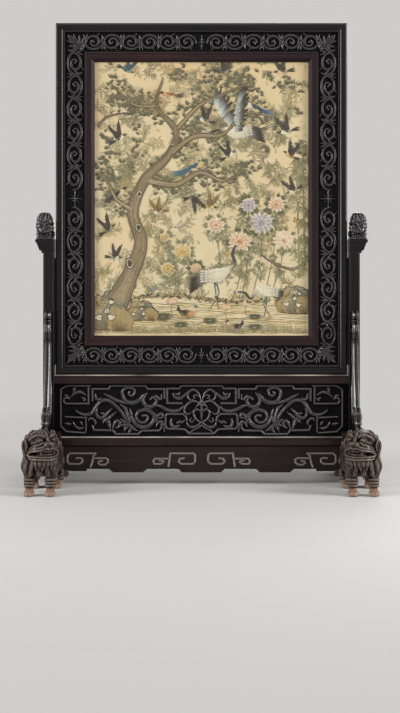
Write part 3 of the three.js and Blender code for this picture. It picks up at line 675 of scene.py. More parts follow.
def panel_vines():
    """Vines, scrolls and leaves, right half: (control points, widths)."""
    return [
        ([(316, 1), (308, -7), (292, -12), (276, -8), (266, 6), (256, 19), (244, 25), (229, 22),
          (214, 10), (201, -4), (192, -19), (182, -33)], [2, 5, 7, 8, 8, 7.5, 7.5, 7, 7, 6.5, 6, 4]),
        ([(244, 41), (229, 33), (214, 25), (199, 20), (184, 16)], [1.6, 6, 7, 6, 3]),
        ([(136, 43), (145, 37), (154, 27), (165, 20), (178, 18), (190, 23), (197, 35), (198, 47),
          (190, 55), (178, 56), (168, 50), (170, 39), (178, 36), (183, 41), (180, 45)],
         [2, 6, 8, 9, 9, 8, 7, 6, 6, 6, 5.5, 5, 4.5, 4.5, 5.5]),
        ([(136, 42), (144, 31), (146, 20), (138, 10), (127, 8), (117, 14), (114, 24), (121, 32),
          (128, 27)], [2, 6, 7.5, 8, 8, 7.5, 6, 5, 4.5]),
        ([(122, 32), (113, 34), (104, 30)], [3, 6.5, 2]),
        ([(119, 12), (104, 10), (89, 2), (72, -3), (56, 0), (44, 11)], [2.5, 6, 7, 7.5, 7, 2.5]),
        ([(142, 8), (132, -2), (120, -10), (112, -19), (115, -31)], [3, 6.5, 7, 6, 3]),
        ([(179, -2), (175, -19), (166, -34), (149, -43), (132, -39), (120, -26), (120, -12), (132, -2),
          (146, 0), (160, -6), (164, -19), (156, -29), (144, -31), (135, -23), (138, -14), (147, -14)],
         [3, 7, 8.5, 9, 9, 8.5, 8, 7.5, 7, 6.5, 6, 5.5, 5.5, 5, 4.5, 5.5]),
        ([(182, -31), (186, -12), (192, 5), (204, 14)], [4, 8, 7, 2]),
        ([(179, -29), (176, -12), (180, 4)], [4, 7, 2]),
        ([(182, -35), (194, -29), (204, -22)], [4, 8, 1.8]),
        ([(182, -37), (194, -37), (205, -40)], [4, 7.5, 1.8]),
        ([(182, -39), (190, -45), (194, -54)], [4, 7.5, 1.8]),
        ([(179, -39), (178, -49), (184, -57)], [4, 7.5, 1.8]),
        ([(178, -37), (170, -47), (160, -52)], [4, 7.5, 2]),
        ([(261, 4), (264, -8), (258, -19), (246, -18), (244, -10), (251, -8)], [3, 6, 7, 6.5, 5.5, 4]),
        ([(250, -26), (240, -12), (224, 4)], [2, 7.5, 2]),
        ([(242, -31), (229, -17), (214, -5)], [2, 7, 2]),
        ([(248, -33), (238, -22), (232, -35), (228, -47)], [2, 7.5, 8.5, 3]),
        ([(223, -48), (219, -35), (212, -27), (205, -32), (208, -42), (214, -44)],
         [3, 5.5, 6.5, 6.5, 5, 3.5]),
        ([(283, -26), (279, -21), (272, -23), (266, -31), (268, -37)], [4, 5, 6.5, 5.5, 3]),
        ([(266, 40), (264, 29), (256, 26), (251, 30)], [3, 6, 5.5, 3]),
        ([(114, -41), (108, -31), (99, -30), (94, -40), (93, -53)], [2.5, 6, 6.5, 6, 4]),
        ([(112, -22), (108, -13), (100, -10), (98, -18), (106, -20)], [3, 6, 6.5, 5, 3.5]),
        ([(344, 37), (338, 35), (331, 27)], [2.5, 6.5, 2]),
        ([(330, 31), (319, 41), (304, 45), (290, 38)], [2, 6, 7, 3]),
        ([(319, 53), (320, 39)], [7, 4.5]),
        ([(298, 30), (292, 27), (295, 23)], [4, 5.5, 3]),
        ([(342, -33), (334, -35), (326, -35)], [3, 6.5, 2.5]),
        ([(322, -30), (316, -41), (306, -46), (296, -44)], [3, 6.5, 7, 3]),
        ([(303, -31), (298, -37)], [6, 3]),
        ([(72, 43), (68, 34), (56, 29), (45, 35), (33, 46)], [2, 6.5, 7.5, 6.5, 2.5]),
        ([(66, 41), (58, 39), (54, 45)], [3, 5.5, 2]),
        ([(75, -22), (77, -33), (72, -42), (62, -42), (56, -38)], [3, 7, 8, 7, 3]),
        ([(62, -33), (54, -29), (50, -31), (42, -26)], [2.5, 6, 5.5, 3]),
    ]


def panel_palmette():
    """Crossing loops round the panel's middle, right half."""
    return [
        ([(-14, 44), (-4, 30), (6, 16), (15, 6)], [2, 4.4, 4.4, 2]),
        ([(0, 20), (8, 42), (20, 51), (32, 45), (35, 33), (27, 25), (18, 29)],
         [3, 4.6, 5, 5, 4.4, 3.6, 2]),
        ([(0, 6), (10, 20), (24, 22), (36, 14), (43, 4), (42, -7), (33, -10), (25, -5)],
         [3, 4.6, 5, 5, 5, 4.6, 3.6, 2]),
        ([(0, -4), (12, 2), (20, -6), (16, -20), (4, -30), (-10, -40)], [4, 5, 5, 4.6, 4.4, 2]),
        ([(2, -31), (12, -40), (24, -43), (34, -38), (38, -26)], [3, 5.6, 6, 5, 2]),
        ([(-4, -34), (8, -44), (20, -50), (32, -58)], [3, 4.4, 4, 2]),
        ([(0, 22), (0, 10), (0, -6), (0, -26)], [2, 5.4, 6.4, 2]),
        ([(18, -24), (24, -30), (30, -26), (26, -20)], [2.4, 3.6, 3.4, 2.4]),
        ([(8, 34), (14, 38), (20, 34), (14, 30)], [2.4, 3.6, 3.4, 2.4]),
    ]


def panel_relief(half):
    low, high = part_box("carved_panel")
    relief = Relief(half, (high.z - low.z) / MM / 2)
    flip = np.array([-1, 1])
    for line, width in panel_fret():
        relief.stroke(np.array(line) * flip, width + 0.6, PANEL_HEIGHT, 0.5)
    for points, widths in panel_vines() + panel_palmette():
        relief.stroke(bend(points) * flip, np.array(widths) * VINE_FULLNESS, PANEL_HEIGHT * 0.95, 0.8,
                      0.22, ribs=3)
    relief.mirror()
    return relief


def panel_board():
    """The panel from rail to rail, over the foot blocks at its lower corners."""
    lower_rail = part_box("lower_rail")[1].z / MM
    upper_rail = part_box("upper_rail")[0].z / MM
    middle = (lower_rail + upper_rail) / 2
    half = (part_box("carved_panel")[1] / MM).x
    relief = panel_relief(half)
    u = np.linspace(-half, half, 1040)
    v = np.linspace(lower_rail - middle, upper_rail - middle, 180)
    grid_u, grid_v = np.meshgrid(u, v, indexing="ij")
    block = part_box("foot_block_right")
    block_top = block[1].z / MM - middle + FIT
    over_block = np.abs(grid_u) > block[0].x / MM - FIT
    share = (grid_v - v[0]) / (v[-1] - v[0])
    grid_v = np.where(over_block, block_top + share * (v[-1] - block_top), grid_v)

    def place(a, b, h):
        return a, PANEL_FACE - h, b + middle

    carved_board("panel_carving", relief, grid_u, grid_v, place, PANEL_FACE - PANEL_BACK,
                 dark_carved["x"], "stand", "carved_panel")


panel_board()


# Aprons: sloping boards with a shaped lower edge and low key-fret bands

APRON_RELIEF = 2.2
APRON_THICKNESS = 10
APRON_DROP = 66
APRON_LEAN = 30
APRON_HALF = 343
APRON_TOP_DEPTH = 12  # from the middle plane to the board's middle at its top edge


def apron_frets():
    """Square spirals, right half, measured from the board's top edge."""
    return [
        [(44, -33), (54, -34), (57, -42), (51, -48), (22, -48), (16, -42), (16, -26), (20, -20),
         (78, -20), (80, -36), (82, -54)],
        [(83, -34), (116, -34), (120, -40), (117, -48), (101, -48), (95, -43), (97, -39), (104, -39)],
        [(248, -40), (255, -41), (257, -46), (252, -50), (240, -50), (233, -44), (233, -36), (238, -33),
         (268, -33)],
        [(264, -20), (270, -26), (272, -42), (277, -60)],
        [(266, -20), (328, -20), (334, -26), (334, -42), (328, -48), (304, -48), (297, -43), (297, -35),
         (303, -32), (312, -33)],
    ]


def apron_edge(u):
    """Depth of the board's lower edge below its top edge at each u."""
    u = np.abs(u)
    steps = [0, 49, 57, 135, 145, 220, 230, 284, 286, APRON_HALF - 14, APRON_HALF - 5, APRON_HALF]
    low = APRON_DROP
    high = low - 9
    depth = [low, low, high, high, low, low, high, high, low - 3, low - 3, low - 8, low - 18]
    return -np.interp(u, steps, depth)


def apron_boards():
    """The two leaning boards; the rear one is the front one turned round."""
    relief = Relief(APRON_HALF, APRON_DROP)
    for line in apron_frets():
        relief.stroke(np.array(line) * (-1, 1), 5.6, APRON_RELIEF, 0.35)
    relief.mirror()
    u = np.round(np.linspace(-APRON_HALF, APRON_HALF, 700), 2)
    share = np.linspace(0, 1, 80)
    grid_u = np.broadcast_to(u[:, None], (len(u), len(share)))
    grid_v = share[None, :] * apron_edge(u)[:, None]
    lean = math.radians(APRON_LEAN)
    rail_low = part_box("lower_rail")[0].z / MM
    top = rail_low - FIT - APRON_THICKNESS / 2 * math.sin(lean)
    for name, way in (("front", 1), ("rear", -1)):

        def place(a, b, h, way=way):
            depth = APRON_THICKNESS / 2 + h
            y = -APRON_TOP_DEPTH + b * math.sin(lean) - depth * math.cos(lean)
            z = top + b * math.cos(lean) + depth * math.sin(lean)
            return a * way, y * way, z

        carved_board(f"apron_carving_{name}", relief, grid_u, grid_v, place, -APRON_THICKNESS,
                     apron_carved, "stand", f"apron_{name}")


apron_boards()


# Silk picture: a stretched sheet with birds and flowers stitched on it

SILK_FRONT = -3
SILK_THICKNESS = 2
SILK_RIPPLE = 0.25
SIGHT_ROOM = 0.5  # from the stitches to the sight frame

BARK = srgb(158, 138, 100)
BARK_DARK = srgb(70, 56, 42)
BARK_PALE = srgb(190, 172, 130)
PINE_DARK = srgb(56, 53, 36)
PINE_GREY = srgb(84, 82, 58)
PINE_PALE = srgb(132, 128, 92)
LEAF_GREY = srgb(114, 111, 76)
LEAF_PALE = srgb(164, 158, 116)
LEAF_DARK = srgb(42, 52, 30)
LEAF_OCHRE = srgb(164, 138, 78)
INK = srgb(20, 16, 16)
UMBER = srgb(54, 38, 31)
ASH = srgb(142, 136, 120)
CREAM = srgb(222, 212, 182)
TEAL = srgb(34, 92, 104)
BLUE = srgb(52, 84, 122)
SKY = srgb(136, 150, 148)
PEACH = srgb(220, 184, 146)
ORANGE = srgb(200, 146, 102)
BLUSH = srgb(226, 200, 172)
LILAC = srgb(184, 174, 176)
LILAC_DARK = srgb(142, 131, 144)
GOLD = srgb(198, 156, 66)
GOLD_PALE = srgb(212, 184, 108)
OCHRE = srgb(170, 134, 66)
RED = srgb(150, 52, 40)

SPRAYS = 210  # leafy twigs scattered over the sky
STRAY_LEAVES = 420
LONE_CLUSTERS = 60  # of pine needles
RIPPLES = 430
BANK_DOTS = 260
BANK_STONES = 40
STREAK_ROOM = 150  # bark for each streak, in square millimetres
SCALE_ROOM = 20
WATER_LOW = -338
WATER_HIGH = -262
rng = np.random.default_rng(11)


class Needlework:
    """Stitched patches gathered into one mesh: u runs right and v up from the picture's middle."""

    def __init__(self, name):
        self.name = name
        self.points, self.faces, self.colours, self.threads = [], [], [], []
        self.count = 0

    def strip(self, line, widths, colours, lift=0.7, base=0.0, slant=0.0):
        """A stitched band along line; widths and colours run from its start to its end."""
        line = np.asarray(line, float)
        t = np.linspace(0, 1, len(line))
        widths = filled(widths, len(line))
        _, normal = directions(line)
        if widths.max() < 1.6:
            q, crown = np.array([-1, 0, 1]), np.array([0, 1, 0])
        elif widths.max() < 9:
            q, crown = np.array([-1, -0.8, 0, 0.8, 1]), np.array([0, 0.6, 1, 0.6, 0])
        else:
            q = np.array([-1, -0.9, -0.6, -0.3, 0, 0.3, 0.6, 0.9, 1])
            crown = np.array([0, 0.5, 0.85, 0.97, 1, 0.97, 0.85, 0.5, 0])
        spots = line[:, None] + normal[:, None] * (q[None, :, None] * widths[:, None, None] / 2)
        ends = np.ones(len(line))
        ends[[0, -1]] = 0
        rise = base * (crown > 0) + lift * crown
        height = rise[None, :] * ends[:, None] - 0.12 * (crown == 0)[None, :]
        run = np.concatenate([[0], np.cumsum(np.linalg.norm(np.diff(line, axis=0), axis=1))])
        lane = q[None, :] * widths[:, None] / 2
        across_threads = lane * math.cos(slant) + run[:, None] * math.sin(slant) + rng.uniform(0, 50)
        tones = np.atleast_2d(np.asarray(colours, float))
        blend = np.clip(t[:, None] + rng.normal(0, 0.05, len(q))[None, :], 0, 1)
        stops = np.linspace(0, 1, len(tones))
        colour = np.stack([np.interp(blend, stops, tones[:, k]) for k in range(3)], -1)
        colour *= (1 + rng.normal(0, 0.05, len(q)))[None, :, None] * (1 + rng.normal(0, 0.04))
        rows, columns = spots.shape[:2]
        index = self.count + np.arange(rows * columns).reshape(rows, columns)
        quads = np.stack([index[:-1, :-1], index[1:, :-1], index[1:, 1:], index[:-1, 1:]], -1)
        self.points.append(np.concatenate([spots, height[..., None]], -1).reshape(-1, 3))
        self.faces.append(quads.reshape(-1, 4))
        self.colours.append(np.clip(colour, 0, 1).reshape(-1, 3))
        self.threads.append(across_threads.reshape(-1))
        self.count += rows * columns

    def dot(self, centre, radius, colour, lift=0.9, base=0.0):
        t = np.linspace(-1, 1, 9)
        line = np.stack([centre[0] + radius * t, np.full(9, centre[1])], 1)
        self.strip(line, 2 * radius * np.sqrt(1 - t**2) + 0.2, [colour], lift, base)

    def leaf(self, root, angle, length, width, colours, bow=0.12, lift=0.7, base=0.0, slant=0.6, steps=5):
        """A pointed leaf, petal or feather from its root; bow bends it to its left."""
        cos, sin = pointing(angle)
        t = np.linspace(0, 1, steps + 1)
        side = bow * length * np.sin(t * math.pi)
        u = root[0] + t * length * cos - side * sin
        v = root[1] + t * length * sin + side * cos
        shape = np.sin(np.clip(t * 0.94 + 0.03, 0, 1) ** 0.85 * math.pi) ** 0.75
        self.strip(np.stack([u, v], 1), np.maximum(width * shape, 0.3), colours, lift, base, slant)

    def finish(self, half):
        """The mesh object, kept inside the picture's edges."""
        points = np.vstack(self.points)
        points[:, :2] = np.clip(points[:, :2], np.negative(half), half)
        world = np.stack([points[:, 0], SILK_FRONT - points[:, 2], points[:, 1] + screen_middle()], 1)
        made = new_object(self.name, world, np.vstack(self.faces).tolist(), thread, "screen")
        colour = made.data.color_attributes.new("thread_colour", "FLOAT_COLOR", "POINT")
        colours = np.vstack(self.colours)
        colour.data.foreach_set("color", np.hstack([colours, np.ones((len(colours), 1))]).ravel())
        paint(made, "thread_run", np.concatenate(self.threads))
        return made


class Sketch:
    """A small drawing in its own units: turned by angle, enlarged to size, mirrored when flip is -1."""

    def __init__(self, work, origin, angle, size, flip=1):
        self.work, self.origin, self.angle, self.size, self.flip = work, origin, angle, size, flip

    def place(self, *points):
        p = np.asarray(points, float) * (self.flip, 1) * self.size
        cos, sin = pointing(self.angle)
        u = self.origin[0] + p[:, 0] * cos - p[:, 1] * sin
        v = self.origin[1] + p[:, 0] * sin + p[:, 1] * cos
        return np.stack([u, v], 1)

    def sew(self, points, widths, tones, lift, base=0.0, slant=0.0, steps=4):
        """A band through the points, bent in so many steps, or straight from point to point with 0."""
        line = self.place(*points)
        if steps:
            line = bend(line, steps)
        self.work.strip(line, np.multiply(widths, self.size), tones, lift, base, slant)

    def dot(self, spot, radius, base, tone=CREAM, lift=0.3):
        self.work.dot(self.place(spot)[0], radius * self.size, tone, lift, base)

    def wing(self, lead, turns, lengths, width, tones, base):
        """Feathers set along a leading edge, turning from the body's line to the wing's tip."""
        line = bend(lead, 6)
        last = len(lengths) - 1
        for k, length in enumerate(lengths):
            spot = line[round(k * (len(line) - 1) / last)]
            tip = spot + length * pointing(turns[0] + (turns[1] - turns[0]) * k / last)
            ends = self.place(spot, spot + 0.5 * (tip - spot), tip)
            run = ends[2] - ends[0]
            ends[1] += 0.06 * np.array([-run[1], run[0]])
            widths = np.multiply([0.5, 1, 0.9, 0.3], width * self.size)
            self.work.strip(bend(ends, 3), widths, tones, 0.5, base + 0.05 * k)


def pine_cluster(work, centre, size):
    """Fans of needles over each other."""
    for _ in range(7):
        middle = np.array(centre) + rng.normal(0, size * 0.42, 2)
        facing = rng.uniform(40, 140)
        for k in range(-3, 4):
            angle = facing + k * 21 + rng.normal(0, 4)
            tip = middle + size * rng.uniform(0.36, 0.56) * pointing(angle)
            work.strip([middle, (middle + tip) / 2, tip], [1.5, 1.7, 0.7],
                       [PINE_DARK, PINE_GREY, PINE_PALE], 0.4)


def sprig(work, root, angle, size, tone, pale):
    """A curved stem with small paired leaves."""
    cos, sin = pointing(angle)
    bow = rng.uniform(-0.3, 0.3)
    t = np.linspace(0, 1, 5)
    u = root[0] + size * (t * cos - bow * t * t * sin)
    v = root[1] + size * (t * sin + bow * t * t * cos)
    work.strip(np.stack([u, v], 1), [0.8, 0.5], [tone], 0.3)
    for k in range(1, 5):
        for side in (-1, 1):
            reach = size * rng.uniform(0.3, 0.42) * (1.15 - 0.12 * k)
            lean = angle + side * rng.uniform(35, 60)
            work.leaf((u[k], v[k]), lean, reach, reach * 0.36, [tone, pale], 0.12 * side, 0.35, steps=3)


def spray(work, root, angle, size):
    """A bent twig in ink with sprigs down both its sides."""
    sketch = Sketch(work, root, angle, size, rng.choice((-1, 1)))
    line = bend(sketch.place((0, 0), (0.35, rng.uniform(0, 0.16)), (0.7, 0.05),
                             (1, rng.uniform(-0.25, 0.1))), 4)
    work.strip(line, [1.5, 1.1, 0.5], [UMBER, BARK_DARK, LEAF_GREY], 0.35)
    tone = (LEAF_GREY, LEAF_OCHRE, PINE_GREY, LEAF_GREY, PINE_PALE)[rng.integers(0, 5)]
    for k in range(1, len(line)):
        run = line[k] - line[k - 1]
        heading = math.degrees(math.atan2(run[1], run[0]))
        side = 1 if k % 2 else -1
        reach = size * rng.uniform(0.24, 0.36) * (1.2 - 0.5 * k / len(line))
        sprig(work, line[k], heading + side * rng.uniform(30, 62), reach, tone, LEAF_PALE)


def bamboo(work, root, tip):
    root, tip = np.array(root, float), np.array(tip, float)
    joints = 8
    for k in range(joints):
        a = root + (tip - root) * k / joints
        b = root + (tip - root) * (k + 0.93) / joints
        work.strip([a, (a + b) / 2 + (0.3, 0), b], [4, 3.2, 4], [LEAF_GREY, LEAF_PALE], 0.9, 0, 1.3)
        for _ in range(3):
            stem = b + rng.normal(0, 7, 2)
            for angle in (-65, -95, -35, -120):
                length = rng.uniform(16, 24)
                work.leaf(stem, angle + rng.normal(0, 9), length, 3.2,
                          [LEAF_GREY, PINE_PALE, LEAF_OCHRE], 0.08, 0.5)


def bloom(work, centre, radius, rings, tones, heart, tilt=0.86, width=0.5):
    """A flower of rings of petals, the inner ones standing over the outer ones."""
    for ring, count in enumerate(rings):
        reach = radius * (1 - ring / (len(rings) + 0.6))
        outer, inner = tones[ring % len(tones)], tones[(ring + 1) % len(tones)]
        for k in range(count):
            angle = 360 * (k + 0.5 * (ring % 2)) / count + rng.normal(0, 3)
            out = pointing(angle) * (1, tilt)
            root = centre + 0.12 * reach * out
            squash = math.hypot(*out)
            leaning = math.degrees(math.atan2(out[1], out[0]))
            wide = width * 2 * math.pi * reach / count * 1.25
            colours = [inner, outer, CREAM]
            work.leaf(root, leaning, reach * squash, wide, colours, 0.04, 0.5, 0.25 * ring, 0.2)
    for _ in range(9):
        work.dot(np.array(centre) + rng.normal(0, radius * 0.07, 2), 0.9, heart, 0.5, 0.3 * len(rings))


def leaf_cluster(work, centre, radius, count, tones):
    """Broad notched leaves round a flower."""
    for k in range(count):
        angle = 360 * k / count + rng.normal(0, 14)
        root = centre + radius * pointing(angle)
        length = rng.uniform(11, 16)
        for spread in (-34, 0, 34):
            reach = length * (1 - abs(spread) / 110)
            work.leaf(root, angle + spread, reach, 5.4, tones, 0.02, 0.6, 0, 0.9)
            rib = root + 0.8 * length * pointing(angle + spread)
            work.strip([root, (root + rib) / 2, rib], [0.7, 0.6, 0.3], [LEAF_PALE], 0.25, 0.75)


def small_bird(work, centre, angle, size, flip, wings, belly, head):
    """A finch or swallow in flight, its far wing behind its body and its near wing in front."""
    bird = Sketch(work, centre, angle, size, flip)
    lengths = [0.3, 0.32, 0.36, 0.42, 0.5, 0.6, 0.68]
    bird.wing([(0.04, 0.06), (0.3, 0.34), (0.36, 0.66)], (182, 78), lengths, 0.17, wings, 0.0)
    web = [(-0.05, 0.1), (0.12, 0.36), (0.28, 0.7), (0.46, 1.2)]
    bird.sew(web, [0.36, 0.42, 0.24, 0.03], wings, 0.4, 0.2, 1.2)
    for k in (-1, -0.4, 0.4, 1):
        tail = [(-0.3, 0.02), (-0.62, 0.02 + 0.07 * k), (-1.02 + 0.1 * abs(k), 0.17 * k)]
        bird.sew(tail, [0.1, 0.12, 0.03], wings, 0.5, 0.1, steps=3)
    body = [(-0.42, 0.0), (-0.1, 0.0), (0.22, 0.06), (0.44, 0.14)]
    bird.sew(body, [0.08, 0.3, 0.32, 0.16], [wings[1], belly, belly], 0.7, 0.3, 0.3)
    bird.sew([(0.32, 0.1), (0.47, 0.15), (0.6, 0.15)], [0.14, 0.22, 0.08], [head], 0.8, 0.5, steps=3)
    beak = [(0.56, 0.16), (0.66, 0.14), (0.76, 0.12)]
    bird.sew(beak, [0.07, 0.04, 0.2 / size], [INK], 0.4, 0.4, steps=0)
    bird.dot((0.5, 0.19), 0.028, 1.2)
    bird.wing([(0.1, 0.05), (0.04, 0.4), (-0.14, 0.66)], (188, 108), lengths, 0.17, wings, 0.8)
    web = [(-0.08, 0.1), (-0.08, 0.38), (-0.2, 0.7), (-0.34, 1.2)]
    bird.sew(web, [0.34, 0.4, 0.22, 0.03], wings, 0.4, 1.0, 1.2)
    shoulder = [(0.14, 0.02), (0.08, 0.36), (-0.12, 0.62)]
    bird.sew(shoulder, [0.12, 0.09, 0.03], [wings[1], wings[0]], 0.4, 1.1)


def perched_bird(work, centre, angle, size, flip, wings, belly, head, tail):
    """A long-tailed bird on a branch; tail is its length in bodies."""
    bird = Sketch(work, centre, angle, size, flip)
    for k in range(4):
        sweep = [(-0.3, -0.02 * k), (-0.5 - 0.4 * tail, -0.2 - 0.08 * k), (-0.45 - tail, -0.12 - 0.1 * k)]
        bird.sew(sweep, [0.09, 0.1, 0.09, 0.03], [wings[1], wings[0], ASH], 0.5, 0.05 * k, steps=5)
    for k in (0, 1):
        leg = bird.place((0.02 + 0.1 * k, -0.12), (0.04 + 0.1 * k, -0.24), (0.02 + 0.1 * k, -0.36))
        work.strip(leg, [1.2, 1, 0.8], [UMBER], 0.4)
    body = [(-0.42, 0.0), (-0.1, -0.02), (0.2, 0.06), (0.4, 0.22)]
    bird.sew(body, [0.1, 0.34, 0.36, 0.18], [wings[1], belly, belly], 0.8, 0.3, 0.3, steps=5)
    bird.sew([(0.3, 0.18), (0.44, 0.28), (0.56, 0.3)], [0.17, 0.24, 0.08], [head], 0.9, 0.6)
    beak = [(0.54, 0.31), (0.64, 0.29), (0.74, 0.25)]
    bird.sew(beak, [0.07, 0.05, 0.2 / size], [INK], 0.4, 0.5, steps=0)
    bird.dot((0.47, 0.32), 0.026, 1.5)
    for k in range(5):
        fold = [(0.16 - 0.05 * k, 0.12 - 0.02 * k), (-0.12, 0.1 - 0.04 * k),
                (-0.5 + 0.05 * k, -0.02 - 0.03 * k)]
        bird.sew(fold, [0.08, 0.12, 0.04], [head, wings[1], wings[0]], 0.4, 0.9 + 0.05 * k)


def crane_body(crane):
    """Overlapping feathers of the back and the drooping plumes behind."""
    for k in range(9):
        plume = [(-0.3, 0.05 - 0.03 * k), (-0.56, 0.02 - 0.05 * k), (-0.78, -0.12 - 0.055 * k)]
        crane.sew(plume, [0.05, 0.075, 0.02], [ASH, INK, INK], 0.5, 0.1 + 0.05 * k)
    outline = [(-0.46, 0.0), (-0.2, -0.02), (0.14, 0.04), (0.42, 0.2)]
    crane.sew(outline, [0.12, 0.4, 0.42, 0.16], [ASH, CREAM, CREAM], 0.9, 0.3, 0.3, steps=5)
    for row in range(5):
        for k in range(5):
            u, v = 0.24 - 0.13 * row, 0.14 - 0.075 * k
            feather = [(u, v), (u - 0.12, v - 0.02), (u - 0.22, v - 0.05)]
            crane.sew(feather, [0.03, 0.07, 0.02], [SKY, CREAM, ASH], 0.35, 1.1, steps=0)


def crane_head(crane):
    crane.sew([(0.64, 0.94), (0.71, 1.0), (0.79, 0.99)], [0.07, 0.1, 0.04], [CREAM, INK], 0.7, 0.5)
    bill = [(0.76, 1.0), (0.92, 0.97), (1.08, 0.93)]
    crane.sew(bill, [0.04, 0.03, 0.3 / crane.size], [OCHRE, UMBER], 0.5, 0.3, steps=0)
    crane.dot((0.71, 1.03), 0.03, 1.0, RED, 0.5)
    crane.dot((0.735, 0.995), 0.01, 1.3)


def standing_crane(work, centre, size, flip, stoop=0.0):
    """A crane on both legs; stoop is how far its neck bends to the ground."""
    crane = Sketch(work, centre, 0, size, flip)
    for foot, back in ((0.1, 0), (-0.14, 1)):
        leg = [(-0.02, -0.16), (0.02 + 0.1 * back, -0.52), (foot, -0.98)]
        crane.sew(leg, [0.05, 0.028, 0.03], [TEAL, INK], 0.5)
        for toe in (-0.08, 0.03, 0.12):
            claw = crane.place((foot, -0.97), (foot + toe * 0.6, -1.0), (foot + toe, -1.03))
            work.strip(claw, [1.2, 1, 0.5], [INK], 0.4)
    crane_body(crane)
    neck = Sketch(work, centre, -stoop * 70 * flip, size, flip)
    line = bend(np.vstack([crane.place((0.34, 0.16)),
                           neck.place((0.58, 0.36), (0.52, 0.68), (0.66, 0.95))]), 5)
    work.strip(line, np.multiply([0.2, 0.1, 0.075, 0.07], size), [CREAM, INK, INK, TEAL], 0.8, 0.4)
    crane_head(neck)


def flying_crane(work, centre, angle, size, flip):
    """A crane in flight, neck and legs stretched."""
    crane = Sketch(work, centre, angle, size, flip)
    lengths = [0.36, 0.42, 0.46, 0.52, 0.58, 0.64, 0.68, 0.7, 0.68, 0.62]
    tones = [CREAM, SKY, UMBER, INK]
    crane.wing([(0.16, 0.1), (0.4, 0.5), (0.5, 0.95)], (178, 108), lengths, 0.15, tones, 0.0)
    for k in (0, 1):
        leg = [(-0.34, -0.04 - 0.03 * k), (-0.8, -0.06 - 0.05 * k), (-1.2, -0.02 - 0.07 * k)]
        crane.sew(leg, [0.04, 0.022], [TEAL, INK], 0.5)
    crane_body(crane)
    neck = [(0.34, 0.14), (0.6, 0.22), (0.86, 0.2), (1.08, 0.3)]
    crane.sew(neck, [0.18, 0.09, 0.07, 0.07], [CREAM, INK, INK, CREAM], 0.8, 0.4, steps=5)
    crane_head(Sketch(work, crane.place((0.42, -0.68))[0], angle, size, flip))
    crane.wing([(0.14, 0.06), (0.02, 0.5), (-0.22, 0.9)], (186, 128), lengths, 0.15, tones, 1.0)
    for k in range(8):
        root = np.array([0.12 - 0.035 * k, 0.06 + 0.1 * k])
        feather = [root, root + (-0.1, -0.01), root + (-0.2, -0.04)]
        crane.sew(feather, [0.03, 0.08, 0.02], [SKY, CREAM], 0.4, 1.7, steps=0)


def duck(work, centre, size, flip, tones):
    """A duck afloat: a deep breast, folded wings, an upright tail and a wake in ink."""
    bird = Sketch(work, centre, 0, size, flip)
    hull = [(-0.62, 0.1), (-0.3, -0.02), (0.14, -0.04), (0.5, 0.1)]
    bird.sew(hull, [0.1, 0.42, 0.5, 0.2], [UMBER, tones[0], tones[1]], 0.9, 0.2, 0.3, steps=5)
    for k in range(5):
        plume = [(-0.4, 0.1), (-0.66, 0.2 + 0.05 * k), (-0.86 + 0.04 * k, 0.3 + 0.09 * k)]
        bird.sew(plume, [0.08, 0.1, 0.03], [UMBER, INK], 0.5, 0.4 + 0.05 * k, steps=3)
    for k in range(6):
        fold = [(0.26 - 0.05 * k, 0.2 - 0.04 * k), (-0.1, 0.24 - 0.06 * k),
                (-0.52 + 0.03 * k, 0.24 - 0.05 * k)]
        bird.sew(fold, [0.07, 0.12, 0.03], [tones[1], INK, INK], 0.5, 1.0 + 0.06 * k)
    throat = [(0.34, 0.1), (0.5, 0.26), (0.48, 0.42), (0.56, 0.5)]
    bird.sew(throat, [0.26, 0.2, 0.17, 0.16], [tones[1], CREAM, tones[2]], 0.8, 0.6)
    bird.sew([(0.46, 0.5), (0.58, 0.54), (0.7, 0.5)], [0.16, 0.24, 0.1], [tones[2]], 0.8, 0.9)
    bird.sew([(0.66, 0.51), (0.8, 0.48), (0.92, 0.47)], [0.1, 0.08, 0.04], [ORANGE], 0.5, 0.6, steps=0)
    bird.dot((0.6, 0.54), 0.03, 1.8)
    for k in range(4):
        wake = [(-0.8 - 0.1 * k, -0.14 - 0.05 * k), (0, -0.24 - 0.06 * k),
                (0.7 + 0.08 * k, -0.1 - 0.06 * k)]
        work.strip(bend(bird.place(*wake), 4), [0.4, 1.1, 0.4], [ASH, PINE_GREY], 0.35)


def butterfly(work, centre, angle, size, tones):
    sketch = Sketch(work, centre, angle, size)
    for side in (-1, 1):
        for spread, length, width in ((58, 1.0, 0.6), (118, 0.75, 0.5)):
            tip = length * pointing(side * spread)
            line = bend(sketch.place((0, 0), 0.5 * tip, tip), 3)
            widths = [0.8, size * width, size * width * 0.8, 1.0]
            work.strip(line, widths, [tones[0], tones[1], UMBER], 0.5, 0.1, 0.4)
    work.strip(sketch.place((-0.34, 0), (0, 0), (0.34, 0)), [0.6, size * 0.14, 0.6], [INK], 0.6, 0.6)
    for side in (-1, 1):
        feeler = sketch.place((0.32, 0), (0.5, 0.1 * side), (0.62, 0.26 * side))
        work.strip(bend(feeler, 3), 0.6, [INK], 0.3)


def lotus_leaf(work, centre, radius, tones):
    """A round leaf seen from the side, with ribs from its middle."""
    for k in range(22):
        a = 2 * math.pi * k / 22
        reach = radius * (1 + 0.06 * math.sin(3 * a))
        tip = (centre[0] + reach * math.cos(a), centre[1] + 0.5 * reach * math.sin(a))
        middle = ((centre[0] + tip[0]) / 2, (centre[1] + tip[1]) / 2)
        widths = [0.6, 0.17 * reach, 0.27 * reach]
        work.strip([centre, middle, tip], widths, [tones[1], tones[0], tones[1]], 0.6, 0.03 * (k % 3))


